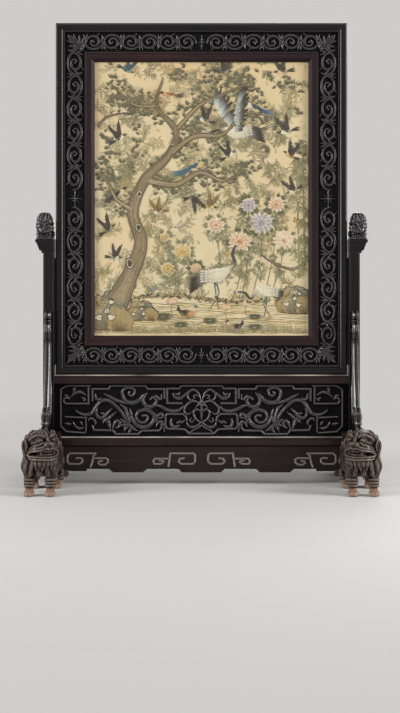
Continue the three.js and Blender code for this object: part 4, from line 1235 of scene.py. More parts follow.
def lotus(work, centre, size):
    stem = bend([(centre[0] + 4, centre[1] - 2.2 * size), (centre[0] - 2, centre[1] - size), centre], 5)
    work.strip(stem, [1.6, 1.4], [LEAF_GREY], 0.5)
    for ring, (count, reach) in enumerate(((9, 1.0), (7, 0.8), (5, 0.55))):
        for k in range(count):
            angle = 90 + (k - (count - 1) / 2) * (170 / count)
            tones = [PEACH, BLUSH, ORANGE]
            work.leaf(centre, angle, size * reach, size * 0.34, tones, 0.03, 0.6, 0.25 * ring, 0.1)


def trunk(work, line, widths, base=0.2):
    """A bough with bark scales, dark along both edges."""
    line = bend(line, 10)
    widths = filled(widths, len(line))
    work.strip(line, widths, [BARK], 1.2, base, 1.2)
    tangent, normal = directions(line)
    for side in (-1, 1):
        edge = line + side * normal * widths[:, None] * 0.47 + rng.normal(0, 0.35, line.shape)
        work.strip(edge, 1.9, [BARK_DARK], 0.6, base + 0.5)
        shade = line + side * normal * widths[:, None] * 0.34
        work.strip(shade, widths * 0.2, [halfway(BARK, BARK_DARK)], 0.25, base + 0.9, 1.2)
    bark = np.linalg.norm(np.diff(line, axis=0), axis=1).sum() * widths.mean()
    for _ in range(int(bark / STREAK_ROOM)):
        start = rng.integers(0, max(1, len(line) - 9))
        path = slice(start, start + 9)
        drift = np.linspace(*rng.uniform(-0.4, 0.4, 2), len(line[path]))
        tone = (BARK_DARK, UMBER, BARK_PALE)[rng.integers(0, 3)]
        streak = line[path] + normal[path] * (widths[path] * drift)[:, None]
        work.strip(streak, [0.4, 1.3, 0.4], [tone], 0.3, base + 1.1)
    for _ in range(int(bark / SCALE_ROOM)):
        k = rng.integers(1, len(line) - 1)
        across = rng.uniform(-0.42, 0.42)
        spot = line[k] + normal[k] * widths[k] * across + tangent[k] * rng.uniform(-3, 3)
        reach = min(5, widths[k] * 0.3)
        arc = [spot - normal[k] * reach * 0.5, spot + tangent[k] * reach * 0.45,
               spot + normal[k] * reach * 0.5]
        tone = (BARK_DARK, BARK_PALE)[rng.integers(0, 2)]
        work.strip(bend(arc, 2), [0.5, 1.5, 0.5], [tone], 0.4, base + 1.3 * (1 - (2 * across) ** 2))
    return line


def knot(work, centre, size, angle):
    sketch = Sketch(work, centre, angle, size)
    work.dot(centre, size * 0.5, UMBER, 0.3, 1.3)
    turn = np.linspace(0, 2 * math.pi, 15)
    for ring, (radius, tone, width) in enumerate(((1.0, INK, 2), (0.8, CREAM, 2.2), (0.5, INK, 1.5))):
        loop = sketch.place(*np.stack([0.62 * radius * np.cos(turn), radius * np.sin(turn)], 1))
        work.strip(loop, width, [tone], 0.5, 1.4 + 0.1 * ring)


def rock(work, centre, width, height):
    """A garden rock: rounded humps stitched from their feet outwards, with pale hollows outlined in ink."""
    humps = []
    for level, count in ((1.0, 2), (0.72, 3), (0.42, 4)):
        for k in range(count):
            x = centre[0] + width * ((k + 0.5) / count - 0.5) * (1.1 - 0.5 * level) + rng.normal(0, 2)
            y = centre[1] + height * level * rng.uniform(0.42, 0.55)
            humps.append((x, y, height * 0.3 * (1.2 - 0.4 * level)))
    for order, (x, y, radius) in enumerate(humps):
        tones = [BARK_DARK, (BARK, LEAF_GREY, LEAF_OCHRE)[order % 3], (BARK_PALE, ASH, BARK)[order % 3]]
        rim = []
        for k in range(21):
            a = math.radians(-25 + 230 * k / 20)
            reach = radius * (1 + 0.12 * math.sin(3 * a + order) + 0.06 * math.sin(7 * a))
            foot = (x + 0.2 * reach * math.cos(a), y - radius * 0.9)
            tip = (x + reach * 0.9 * math.cos(a), y + reach * math.sin(a))
            rim.append(tip)
            middle = ((foot[0] + tip[0]) / 2 + 0.14 * reach * math.cos(a), (foot[1] + tip[1]) / 2)
            widths = [2, radius * 0.3, radius * 0.24]
            work.strip(bend([foot, middle, tip], 3), widths, tones, 0.8, 0.12 * order, 1.2)
        work.strip(bend(rim, 2), [0.6, 1.4, 0.6], [UMBER], 0.4, 0.12 * order + 0.6)
        if order % 2:
            turn = np.linspace(0, 2 * math.pi, 19)
            lobes = radius * 0.3 * (1 + 0.22 * np.sin(3 * turn + order))
            rim = np.stack([x + lobes * np.cos(turn), y + 0.66 * lobes * np.sin(turn)], 1)
            for share in (0.85, 0.6, 0.35, 0.12):
                ring = (x, y) + (rim - (x, y)) * share
                work.strip(ring, radius * 0.1, [CREAM], 0.4, 0.12 * order + 0.9)
            work.strip(rim, 1.7, [INK], 0.4, 0.12 * order + 1.2)


def water(work, half):
    """Long couched threads that follow ripples."""
    for _ in range(RIPPLES):
        v = WATER_LOW + (WATER_HIGH - WATER_LOW) * rng.uniform(0, 1) ** 1.5
        start = rng.uniform(-half, half - 30)
        length = rng.uniform(28, 120)
        u = np.linspace(start, min(start + length, half), 12)
        ripple = v + 1.6 * np.sin(u / 11 + v) + 0.02 * (u - start)
        tone = (GOLD_PALE, OCHRE, LEAF_OCHRE, LEAF_PALE, LEAF_GREY, ASH)[rng.integers(0, 6)]
        work.strip(np.stack([u, ripple], 1), [0.6, 1.2, 0.6], [tone], 0.35)


def grass(work, centre, size, count=12):
    for _ in range(count):
        angle = rng.uniform(35, 145)
        root = (centre[0] + rng.normal(0, size * 0.3), centre[1])
        tone = (LEAF_GREY, LEAF_OCHRE, PINE_GREY)[rng.integers(0, 3)]
        work.leaf(root, angle, size * rng.uniform(0.6, 1.1), 1.9, [tone, LEAF_PALE],
                  rng.uniform(-0.2, 0.2), 0.4, steps=4)


# Each bough: points from its root, and widths along it
PINE_BOUGHS = (
    ([(-214, -262), (-182, -196), (-152, -112), (-172, -34), (-142, 48), (-84, 108), (-64, 172),
      (-112, 232), (-96, 306)],
     [62, 42, 33, 29, 26, 20, 15, 9, 2]),
    ([(-168, -30), (-212, -2), (-236, 44), (-256, 60)], [12, 9, 5, 1.5]),
    ([(-142, 48), (-66, 36), (-4, 66), (56, 46), (112, 74)], [17, 14, 11, 7, 1.5]),
    ([(-84, 108), (-20, 156), (52, 162), (112, 214), (176, 206)], [14, 12, 9, 5, 1.5]),
    ([(-64, 172), (-6, 234), (62, 266), (136, 300)], [11, 8, 5, 1.5]),
    ([(-112, 232), (-172, 238), (-226, 288)], [8, 5, 1.5]),
)


def pine_tree(tree, foliage):
    for line, widths in reversed(PINE_BOUGHS):
        bough = trunk(tree, line, widths)
        if widths[0] > 40:
            continue
        for k in range(4, len(bough), 4):
            for side in (-1, 1):
                spot = bough[k] + (rng.normal(0, 8), side * rng.uniform(7, 26))
                twig = bend([bough[k], (bough[k] + spot) / 2 + rng.normal(0, 3, 2), spot], 3)
                tree.strip(twig, [3, 1.8, 1], [BARK, BARK_DARK], 0.6)
                pine_cluster(foliage, spot, rng.uniform(17, 25))
    for _ in range(LONE_CLUSTERS):
        centre = (rng.uniform(-256, 256), rng.uniform(70, 336))
        pine_cluster(foliage, centre, rng.uniform(17, 27))
    for centre, size, angle in (((-158, -72), 12, 20), ((-156, 12), 9, -15), ((-180, -162), 14, 10),
                                ((-74, 140), 6, 30)):
        knot(tree, centre, size, angle)


def plum_spray(tree, flowers, line):
    bough = trunk(tree, line, [7, 5, 2], 0.1)
    for k in range(2, len(bough), 3):
        spot = bough[k] + rng.normal(0, 5, 2)
        bloom(flowers, spot, rng.uniform(5, 7), (5,), (BLUSH, PEACH), GOLD, 0.9, 0.62)


# Each head: place, radius, petals in each ring, and colours
FLOWER_HEADS = (
    ((150, -60), 33, (15, 12, 9, 6), (LILAC, LILAC_DARK)),
    ((96, -108), 31, (14, 11, 8, 5), (PEACH, ORANGE)),
    ((206, -104), 29, (13, 10, 7, 5), (BLUSH, PEACH)),
    ((188, -14), 23, (12, 9, 6), (PEACH, ORANGE)),
    ((118, -16), 21, (11, 8, 6), (LILAC, LILAC_DARK)),
    ((36, -66), 24, (12, 9, 6), (BLUSH, ORANGE)),
    ((-48, -132), 25, (20, 16, 12, 8), (GOLD_PALE, GOLD)),
    ((-84, -176), 21, (18, 14, 10), (GOLD_PALE, OCHRE)),
    ((-14, -174), 15, (18, 14, 10), (PEACH, ORANGE)),
    ((-92, -96), 14, (16, 12, 8), (GOLD_PALE, OCHRE)),
)


def flower_bed(foliage, flowers):
    for centre, radius, rings, tones in FLOWER_HEADS:
        root = (centre[0] * 0.8 + 10, -236)
        stem = bend([root, ((root[0] + centre[0]) / 2 + 8, (root[1] + centre[1]) / 2), centre], 5)
        foliage.strip(stem, [1.8, 1.4], [LEAF_GREY, LEAF_DARK], 0.5)
        leaf_tones = [LEAF_DARK, LEAF_GREY] if tones[0] in (LILAC, PEACH) else [PINE_GREY, LEAF_PALE]
        leaf_cluster(foliage, centre, radius * 0.85, 11, leaf_tones)
        for k in range(4, len(stem), 4):
            leaf_cluster(foliage, stem[k], 3, 4, [PINE_GREY, LEAF_PALE])
        bloom(flowers, centre, radius, rings, tones, GOLD, 0.84)


DARK_WINGS = (INK, UMBER)
# Each bird: place, angle, size, flip, and the colours of its wings, belly and head
SMALL_BIRDS = (
    ((-206, 150), 24, 34, 1, DARK_WINGS, CREAM, UMBER),
    ((-20, 8), 200, 32, -1, DARK_WINGS, ASH, INK),
    ((20, -20), -18, 30, 1, (UMBER, OCHRE), GOLD_PALE, UMBER),
    ((214, 168), 16, 36, -1, DARK_WINGS, CREAM, INK),
    ((222, 108), -24, 30, -1, DARK_WINGS, GOLD_PALE, UMBER),
    ((-232, -78), 30, 32, 1, DARK_WINGS, ASH, UMBER),
    ((8, 196), -12, 32, -1, DARK_WINGS, CREAM, TEAL),
    ((-188, 322), -30, 28, 1, (TEAL, INK), SKY, TEAL),
    ((204, 318), 12, 34, -1, DARK_WINGS, PEACH, UMBER),
    ((70, 108), 28, 30, 1, DARK_WINGS, CREAM, BLUE),
    ((-108, -34), 12, 30, -1, (UMBER, OCHRE), CREAM, OCHRE),
    ((-218, -148), -8, 28, 1, DARK_WINGS, CREAM, INK),
    ((56, 318), -8, 30, 1, DARK_WINGS, ASH, UMBER),
    ((232, 20), 30, 30, -1, DARK_WINGS, CREAM, BLUE),
)


def bird_life(birds):
    flying_crane(birds, (92, 168), 14, 78, -1)
    standing_crane(birds, (34, -192), 84, 1)
    standing_crane(birds, (164, -232), 64, -1, 0.8)
    for bird in (
        ((-10, 84), 8, 40, 1, (TEAL, BLUE), GOLD_PALE, TEAL, 1.5),
        ((-206, 14), 12, 36, 1, (UMBER, INK), PEACH, INK, 1.0),
        ((128, 232), -4, 36, -1, (BLUE, INK), CREAM, BLUE, 1.2),
        ((-84, 262), 14, 32, -1, (UMBER, OCHRE), ORANGE, UMBER, 0.9),
    ):
        perched_bird(birds, *bird)
    for bird in SMALL_BIRDS:
        small_bird(birds, *bird)
    duck(birds, (-34, -288), 34, 1, (OCHRE, ORANGE, TEAL))
    duck(birds, (82, -322), 30, -1, (ASH, OCHRE, UMBER))
    for insect in (
        ((66, -140), 40, 12, (ORANGE, GOLD_PALE)),
        ((-120, -226), 110, 11, (LILAC, SKY)),
        ((238, -56), 60, 12, (GOLD_PALE, OCHRE)),
        ((-56, -66), 130, 10, (PEACH, CREAM)),
    ):
        butterfly(birds, *insect)


TUFTS_ALONG = (-206, -176, -120, -60, 0, 96, 150, 214, 246, -250)
TUFTS_UP = (-216, -226, -250, -246, -248, -252, -262, -214, -196, -190)


def bank(u):
    """Height of the water's edge along the picture."""
    return -250 - 8 * math.sin(u / 60)


def waterside(ground, foliage, flowers, half):
    """Water along the foot of the picture, its bank, rocks, lotus and grass."""
    water(ground, half[0])
    for k in range(BANK_STONES):
        u = -262 + 9 * k
        v = bank(u)
        tone = (BARK, BARK_DARK, LEAF_OCHRE)[k % 3]
        stone = bend([(u, v - 4), (u + 7, v + 1), (u + 16, v - 3)], 3)
        ground.strip(stone, [2, 9, 2], [tone, BARK], 0.8, 0, 1.4)
    for centre, width, height in (((-236, -322), 74, 116), ((-150, -300), 60, 62), ((236, -282), 62, 84)):
        rock(ground, centre, width, height)
    for centre, radius in (((-96, -296), 22), ((-52, -316), 18), ((22, -306), 18), ((134, -322), 19),
                           ((134, -296), 16)):
        lotus_leaf(foliage, centre, radius, (LEAF_DARK, LEAF_GREY))
    for centre, size in (((-74, -262), 17), ((62, -276), 15), ((112, -268), 14)):
        lotus(flowers, centre, size)
    for _ in range(BANK_DOTS):
        u = rng.uniform(-half[0], half[0])
        tone = (LEAF_DARK, PINE_GREY, LEAF_OCHRE, UMBER)[rng.integers(0, 4)]
        ground.dot((u, bank(u) + rng.normal(0, 4)), rng.uniform(1, 2.4), tone, 0.5, 0.8)
    for u in np.arange(-half[0] + 6, half[0] - 6, 11):
        grass(foliage, (u, WATER_LOW + rng.uniform(0, 8)), rng.uniform(12, 26), 9)
    for u, v in zip(TUFTS_ALONG, TUFTS_UP):
        grass(foliage, (u, v), 26, 18)


def silk_sheet():
    """The stretched silk itself, with the faint waves that its tension leaves."""
    low, high = (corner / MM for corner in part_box("silk_picture"))
    middle = (low.z + high.z) / 2
    relief = Relief(high.x + 2, (high.z - low.z) / 2 + 2, 4)
    rows, columns = relief.h.shape
    a = np.arange(rows)[:, None] * 0.11
    b = np.arange(columns)[None, :] * 0.09
    wave = 0.25 * np.sin(a + 0.6 * np.sin(b)) + 0.25 * np.sin(1.7 * b + 0.4 * a)
    relief.h[...] = SILK_RIPPLE * (wave - 0.5)
    u = np.linspace(low.x, high.x, 70)
    v = np.linspace(low.z, high.z, 90) - middle
    grid_u, grid_v = np.meshgrid(u, v, indexing="ij")

    def place(a, b, h):
        return a, SILK_FRONT - h, b + middle

    return carved_board("silk_sheet", relief, grid_u, grid_v, place, -SILK_THICKNESS, silk, "screen",
                        "silk_picture")


def embroidery():
    """All stitched pieces, one for each kind of motif, on the silk they belong to."""
    right, bottom, top = (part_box(f"sight_frame_{side}") for side in ("right", "bottom", "top"))
    half = (right[0].x / MM - SIGHT_ROOM, (top[0].z - bottom[1].z) / MM / 2 - SIGHT_ROOM)
    kinds = ("sprays", "ground", "tree", "foliage", "flowers", "birds")
    works = [Needlework(f"stitched_{kind}") for kind in kinds]
    sprays, ground, tree, foliage, flowers, birds = works
    for _ in range(SPRAYS):
        root = (rng.uniform(-half[0], half[0]), rng.uniform(-236, half[1]))
        spray(sprays, root, rng.uniform(0, 360), rng.uniform(34, 62))
    for _ in range(STRAY_LEAVES):
        root = (rng.uniform(-half[0], half[0]), rng.uniform(-240, half[1]))
        sprig(sprays, root, rng.uniform(0, 360), rng.uniform(6, 12), LEAF_PALE, halfway(LEAF_PALE, CREAM))
    pine_tree(tree, foliage)
    plum_spray(tree, flowers, [(262, -160), (226, -176), (180, -160), (150, -140)])
    plum_spray(tree, flowers, [(-262, 180), (-236, 206), (-190, 216)])
    bamboo(foliage, (246, -200), (238, 96))
    bamboo(foliage, (258, -180), (254, 140))
    waterside(ground, foliage, flowers, half)
    flower_bed(foliage, flowers)
    bird_life(birds)
    pieces = [work.finish(half) for work in works]
    sheet = silk_sheet()


embroidery()


# Sculpture: solids kept as distances on a grid, in millimetres, and meshed at the end


def blended(a, b, soft):
    """The smaller of two distances, rounded over where they meet."""
    if soft <= 0:
        return np.minimum(a, b)
    near = np.maximum(soft - np.abs(a - b), 0) / soft
    return np.minimum(a, b) - near * near * soft / 4


def about(axis, angle):
    """Rotation about one axis (0, 1, 2 for X, Y, Z), in degrees."""
    j, k = (axis + 1) % 3, (axis + 2) % 3
    cos, sin = pointing(angle)
    turn = np.eye(3)
    turn[j, j] = turn[k, k] = cos
    turn[j, k], turn[k, j] = -sin, sin
    return turn


def seen_from(middle, turn, grid):
    """Grid coordinates in a turned frame at middle."""
    away = [g - m for g, m in zip(grid, middle)]
    return [sum(turn[k, i] * away[k] for k in range(3)) for i in range(3)]


class Clay:
    """Rounded forms added to and cut from each other. Points are in a frame that can be moved and turned."""

    def __init__(self, low, high, cell):
        self.cell = cell
        self.low = np.array(low, float)
        counts = np.ceil((np.array(high) - self.low) / cell).astype(int) + 1
        self.axes = [self.low[k] + cell * np.arange(counts[k]) for k in range(3)]
        self.d = np.full(counts, 50.0, np.float32)

    def stand(self, origin, turn=0):
        """Sets the frame: its origin, and its turn about Z in degrees."""
        self.origin = np.array(origin, float)
        self.frame = about(2, turn)

    def window(self, points, reach):
        points = np.atleast_2d(points)
        low = np.floor((points.min(0) - reach - self.low) / self.cell).astype(int)
        high = np.ceil((points.max(0) + reach - self.low) / self.cell).astype(int) + 1
        low, high = np.maximum(low, 0), np.minimum(high, self.d.shape)
        cut = tuple(slice(a, b) for a, b in zip(low, high))
        grid = np.ix_(*[axis[s] for axis, s in zip(self.axes, cut)])
        return cut, grid, bool((high > low).all())

    def merge(self, cut, distance, soft, carve):
        here = self.d[cut]
        if carve:
            here[...] = -blended(-here, distance, soft)
        else:
            here[...] = blended(here, distance, soft)

    def ball(self, centre, radii, lean=(0, 0, 0), soft=4.0, carve=False):
        """An ellipsoid; lean turns it about its own X, Y and Z, in degrees."""
        radii = np.broadcast_to(np.asarray(radii, float), 3)
        turn = self.frame @ (about(2, lean[2]) @ about(1, lean[1]) @ about(0, lean[0]))
        middle = self.origin + self.frame @ np.asarray(centre, float)
        cut, grid, some = self.window(middle, radii.max() + soft + 2 * self.cell)
        if not some:
            return
        local = seen_from(middle, turn, grid)
        near = np.sqrt(sum((q / r) ** 2 for q, r in zip(local, radii)))
        slope = np.sqrt(sum((q / r**2) ** 2 for q, r in zip(local, radii)))
        self.merge(cut, near * (near - 1) / np.maximum(slope, 1e-6), soft, carve)

    def rod(self, points, radii, soft=2.0, carve=False):
        """A round limb, lock or groove along points, with a radius for each."""
        line = self.origin + np.asarray(points, float) @ self.frame.T
        radii = filled(radii, len(line))
        cut, grid, some = self.window(line, radii.max() + soft + 2 * self.cell)
        if not some:
            return
        nearest = None
        for a, b, ra, rb in zip(line, line[1:], radii, radii[1:]):
            run = b - a
            t = sum((g - p) * r for g, p, r in zip(grid, a, run)) / max(run @ run, 1e-9)
            t = np.clip(t, 0, 1)
            away = np.sqrt(sum((g - p - t * r) ** 2 for g, p, r in zip(grid, a, run)))
            distance = away - (ra + (rb - ra) * t)
            nearest = distance if nearest is None else np.minimum(nearest, distance)
        self.merge(cut, nearest, soft, carve)

    def slab(self, low, high, round_edge=1.0, soft=0.0, carve=False):
        """A box with rounded edges, from corner to corner, square to the frame's own axes."""
        low, high = np.asarray(low, float), np.asarray(high, float)
        corners = [[x, y, z] for x in (low[0], high[0]) for y in (low[1], high[1])
                   for z in (low[2], high[2])]
        world = self.origin + np.array(corners) @ self.frame.T
        cut, grid, some = self.window(world, soft + 2 * self.cell)
        if not some:
            return
        local = seen_from(self.origin + self.frame @ ((low + high) / 2), self.frame, grid)
        over = [np.abs(q) - (h - l) / 2 + round_edge for q, l, h in zip(local, low, high)]
        outside = np.sqrt(sum(np.maximum(q, 0) ** 2 for q in over))
        inside = np.minimum(np.maximum(np.maximum(over[0], over[1]), over[2]), 0)
        self.merge(cut, outside + inside - round_edge, soft, carve)

    def plate(self, outline, half, soft=1.0, round_edge=1.2, carve=False):
        """A board with this (y, z) outline, half thick on either side of x = 0; the frame is not turned."""
        corners = np.asarray(outline, float) + self.origin[1:]
        world = np.array([[self.origin[0] + s * half, y, z] for s in (-1, 1) for y, z in corners])
        cut, (x, y, z), some = self.window(world, soft + 2 * self.cell)
        if not some:
            return
        near = np.full(np.broadcast_shapes(y.shape, z.shape), 1e9)
        inside = np.zeros(near.shape, bool)
        for (ya, za), (yb, zb) in zip(corners, np.roll(corners, -1, axis=0)):
            run_y, run_z = yb - ya, zb - za
            t = np.clip(((y - ya) * run_y + (z - za) * run_z) / max(run_y**2 + run_z**2, 1e-9), 0, 1)
            near = np.minimum(near, np.hypot(y - ya - t * run_y, z - za - t * run_z))
            if za != zb:
                inside ^= ((z >= za) != (z >= zb)) & (y < ya + (z - za) / (zb - za) * run_y)
        flat = np.where(inside, -near, near) + round_edge
        deep = np.abs(x - self.origin[0]) - half + round_edge
        outside = np.sqrt(np.maximum(flat, 0) ** 2 + np.maximum(deep, 0) ** 2)
        distance = outside + np.minimum(np.maximum(flat, deep), 0) - round_edge
        self.merge(cut, distance, soft, carve)

    def curl(self, centre, radius, across, up, turns=1.4, thick=None, hand=1, soft=0.8, rise=0.25):
        """A snail curl on a surface that faces across x up; it winds in and rises to its middle."""
        centre, across, up = (np.asarray(v, float) for v in (centre, across, up))
        across = across / np.linalg.norm(across)
        up = up - across * (up @ across)
        up /= np.linalg.norm(up)
        out = np.cross(across, up)
        thick = thick or radius * 0.36
        t = np.linspace(0, 1, int(16 * turns))
        angle = hand * 2 * math.pi * turns * t
        size = (radius - thick * 0.8) * (1 - t * 0.86)
        line = (
            centre
            + (size * np.cos(angle))[:, None] * across
            + (size * np.sin(angle))[:, None] * up
            + (radius * rise * t)[:, None] * out
        )
        self.rod(line, [thick * 0.9, thick * 0.62], soft)
        self.ball(centre + out * radius * rise, thick * 0.9, soft=soft)

    def surface(self):
        """Vertices, quads, and how far each vertex stands proud (above 0) or lies in a hollow."""
        d = self.d
        cells = np.array(d.shape) - 1
        total = np.zeros((*cells, 3), np.float32)
        count = np.zeros(cells, np.float32)

        def corner(o):
            return tuple(slice(a, a + n) for a, n in zip(o, cells))

        for axis in range(3):
            for first in (0, 1):
                for second in (0, 1):
                    o = [0, 0, 0]
                    o[(axis + 1) % 3], o[(axis + 2) % 3] = first, second
                    e = list(o)
                    e[axis] = 1
                    a, b = d[corner(o)], d[corner(e)]
                    cross = (a < 0) != (b < 0)
                    t = np.where(cross, a / np.where(cross, a - b, 1), 0)
                    for k in range(3):
                        total[..., k] += np.where(cross, o[k], 0) + (t if k == axis else 0)
                    count += cross
        active = count > 0
        index = np.full(cells, -1)
        index[active] = np.arange(active.sum())
        where = np.argwhere(active)
        vertices = self.low + self.cell * (where + total[active] / count[active][:, None])
        quads = []
        inside = d < 0
        for axis in range(3):
            b, c = (axis + 1) % 3, (axis + 2) % 3
            low = [slice(None)] * 3
            high = [slice(None)] * 3
            low[axis], high[axis] = slice(0, -1), slice(1, None)
            cross = inside[tuple(low)] != inside[tuple(high)]
            spots = np.argwhere(cross)
            across = spots[:, [b, c]]
            spots = spots[((across > 0) & (across < cells[[b, c]])).all(1)]
            step_b, step_c = np.eye(3, dtype=int)[b], np.eye(3, dtype=int)[c]
            ring = [spots, spots - step_b, spots - step_b - step_c, spots - step_c]
            quad = np.stack([index[tuple(r.T)] for r in ring], 1)
            starts_inside = inside[tuple(spots.T)]
            quad[~starts_inside] = quad[~starts_inside][:, ::-1]
            quads.append(quad)
        quads = np.vstack(quads)
        clipped = np.clip(d, -6, 6)
        pads = [[(1, 1) if j == k else (0, 0) for j in range(3)] for k in range(3)]
        proud = sum(np.pad(np.diff(clipped, 2, axis=k), pads[k]) for k in range(3))
        bulge = proud[tuple(where.T)]
        return relaxed(vertices, quads, 2), quads, relaxed(bulge[:, None], quads, 3)[:, 0]


def relaxed(values, quads, rounds):
    """Each vertex's value moved halfway to the mean of its neighbours', a few times."""
    ends = np.vstack([quads[:, [k, (k + 1) % 4]] for k in range(4)])
    count = np.bincount(ends.ravel(), minlength=len(values)).astype(float)[:, None]
    for _ in range(rounds):
        total = np.zeros_like(values, dtype=float)
        for k in range(values.shape[1]):
            for here, there in (ends.T, ends.T[::-1]):
                total[:, k] += np.bincount(here, values[there, k], len(values))
        values = 0.5 * values + 0.5 * total / count
    return values


def clay_object(name, clay_surface, flip, material, replaced):
    """A piece of the stand from clay, as modelled or mirrored; flip is the sign of x and of y."""
    vertices, quads, bulge = clay_surface
    faces = quads if flip[0] * flip[1] > 0 else quads[:, ::-1]
    made = new_object(name, vertices * (*flip, 1), faces.tolist(), material, "stand")
    # Crests: pale paint for abrasion and a painted highlight.
    paint(made, "worn", np.clip(bulge * 1.1, 0, 1))
    # Hollows: painted shade.
    paint(made, "sunk", np.clip(-bulge * 1.3, 0, 1))
    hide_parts(replaced)
    return made


def clay_at_corners(name, clay_surface, material, replaced):
    """The front right piece and its mirror images at the stand's other corners."""
    return [
        clay_object(f"{name}_{end}_{side}", clay_surface, (hand, way), material,
                    f"{replaced}_{end}_{side}")
        for end, way in (("front", 1), ("rear", -1))
        for side, hand in (("right", 1), ("left", -1))
    ]


# Lion feet

POST_CENTRE = 382
LION_HEAD = (-197, 117)  # the head's depth and height
LION_TURN = -32
LION_TOUCHED = 22  # height up to which the paws are rubbed
LION_TOUCH_FADE = 6
SEAT_HALF = 9.3  # of the flat cut for the spandrel's foot
SEAT_REACH = 127
SEAT_HEIGHT = 127.6
BLOCK_FACE = 46.8  # where the rump ends at its foot block


def lion_foot():
    """The front right lion, facing -Y with its head turned inwards, rump against its foot block."""
    clay = Clay((331, -252, -1.3), (434, -42, 162), 1.25)
    clay.stand((POST_CENTRE, 0, 0))
    lion_body(clay)
    for side in (-1, 1):
        lion_foreleg(clay, side)
        lion_hindleg(clay, side)
    clay.stand((POST_CENTRE, *LION_HEAD), LION_TURN)
    lion_head(clay)
    # Cut flat at the floor, for the spandrel's foot and at the foot block
    clay.stand((POST_CENTRE, 0, 0))
    clay.slab((-60, -260, -20), (60, 0, 0.2), 0, carve=True)
    clay.slab((-SEAT_HALF, -SEAT_REACH, SEAT_HEIGHT), (SEAT_HALF, 0, 200), 0, carve=True)
    clay.slab((-60, -BLOCK_FACE, -20), (60, 10, 200), 0, carve=True)
    return clay.surface()


def lion_body(clay):
    clay.ball((0, -112, 84), (37, 84, 43), soft=8)
    clay.ball((0, -186, 80), (40, 38, 38), soft=12)
    clay.ball((0, -160, 104), (34, 40, 26), soft=12)
    # Flame locks in three rows down the chest
    for row, (count, z, reach, length) in enumerate(((7, 92, 42, 30), (6, 76, 42, 28), (5, 62, 38, 24))):
        for k in range(count):
            a = math.radians(-62 + 124 * (k + 0.5 * (row % 2)) / (count - 1))
            x, y = reach * math.sin(a), -186 - (reach - 4) * math.cos(a)
            sway = 5 * math.sin(2.1 * k + row)
            line = bend([(x * 0.86, y + 3, z + 8), (x, y - 2, z - length * 0.35),
                         (x + sway, y + 3, z - length)], 5)
            clay.rod(line, [6.8, 5.4, 0.9], 1.0)
            clay.rod(line + np.array([0.6, -5.2, 1.0]), [0.5, 1.0, 0.4], 0.6, carve=True)
    # Spine curls either side of the spandrel's foot
    for side in (-1, 1):
        for k in range(5):
            spot = (side * (15.5 + 0.8 * k), -72 - 17 * k, 125 - 0.16 * (k - 2) ** 2)
            clay.curl(spot, 8.6, (0, side, 0), (-side, 0, 0.35), 1.3, hand=-side)
        for k in range(4):
            spot = (side * (34 - 0.6 * k), -70 - 20 * k, 107)
            clay.curl(spot, 8.2, (0, side, 0.2), (-0.4 * side, 0, 1), 1.3, hand=side)


def lion_foreleg(clay, side):
    x = side * 25
    clay.ball((side * 27, -190, 66), (17, 24, 27), (0, side * 6, 0), 8)
    clay.rod([(side * 27, -196, 58), (x, -206, 34), (x, -208, 18)], [14, 10.5, 9.5], 5)
    # Shoulder curl and the flame behind the elbow
    clay.curl((side * 41.5, -186, 66), 11.5, (0, side, 0), (0, 0, 1), 1.5, hand=side)
    lion_flames(clay, side, ((33, -176, 52, 8), (35, -164, 48, 9), (33, -154, 52, 10)), [5, 4, 0.8])
    for z, radius in ((38, 11), (30.5, 10.5), (23.5, 10)):
        lion_cuff(clay, (x, -207.5, z), radius, 3.4)
    lion_paw(clay, (x, -216))


def lion_flames(clay, side, points, radii):
    """Three flame locks below each other: x, y, z of each point, and its drop from lock to lock."""
    for k in range(3):
        clay.rod(bend([(side * x, y, z - drop * k) for x, y, z, drop in points], 5), radii, 1.2)


def lion_cuff(clay, centre, radius, thick):
    """A round ring about a leg."""
    turn = np.linspace(0, 2 * math.pi, 19)
    ring = np.stack([radius * np.cos(turn), radius * np.sin(turn), 0 * turn], 1)
    clay.rod(ring + centre, thick, 1.2)


def lion_lip(clay, half, radius):
    """A lip from the points of its left half."""
    line = [*half, *[(-x, y, z) for x, y, z in half[-2::-1]]]
    clay.rod(bend(line, 5), [1.6, radius, radius, radius, 1.6], 0.9)


def lion_paw(clay, centre):
    x, y = centre
    clay.ball((x, y + 2, 8), (12.5, 15, 9), soft=4)
    for k in range(4):
        a = math.radians(-48 + 32 * k)
        tip = (x + 10 * math.sin(a), y - 3 - 9.5 * math.cos(a))
        root = (x + 7 * math.sin(a), y + 2 - 3 * math.cos(a))
        clay.rod([(*root, 11), (tip[0], tip[1], 7.2), (tip[0], tip[1] - 2, 4.6)], [4.6, 4.6, 4.0], 0.7)
        claw = (tip[0] + 1.8 * math.sin(a), tip[1] - 4.4 * math.cos(a))
        clay.rod([(tip[0], tip[1] - 2, 5), (claw[0], claw[1], 1.6)], [2.2, 0.9], 0.4)


def lion_hindleg(clay, side):
    clay.ball((side * 27, -84, 58), (17, 34, 40), (0, side * 6, 0), 8)
    clay.curl((side * 41.5, -86, 64), 13, (0, side, 0), (0, 0, 1), 1.7, hand=-side, rise=0.15)
    clay.rod([(side * 29, -84, 40), (side * 29, -76, 24), (side * 28, -86, 12)], [13, 10, 9], 5)
    lion_flames(clay, side, ((42, -104, 44, 6), (43, -112, 36, 7), (41, -122, 36, 8)), [4.4, 3.6, 0.8])
    for z, radius in ((30, 11), (22.5, 10.5)):
        lion_cuff(clay, (side * 28.5, -79, z), radius, 3.2)
    lion_paw(clay, (side * 28, -96))


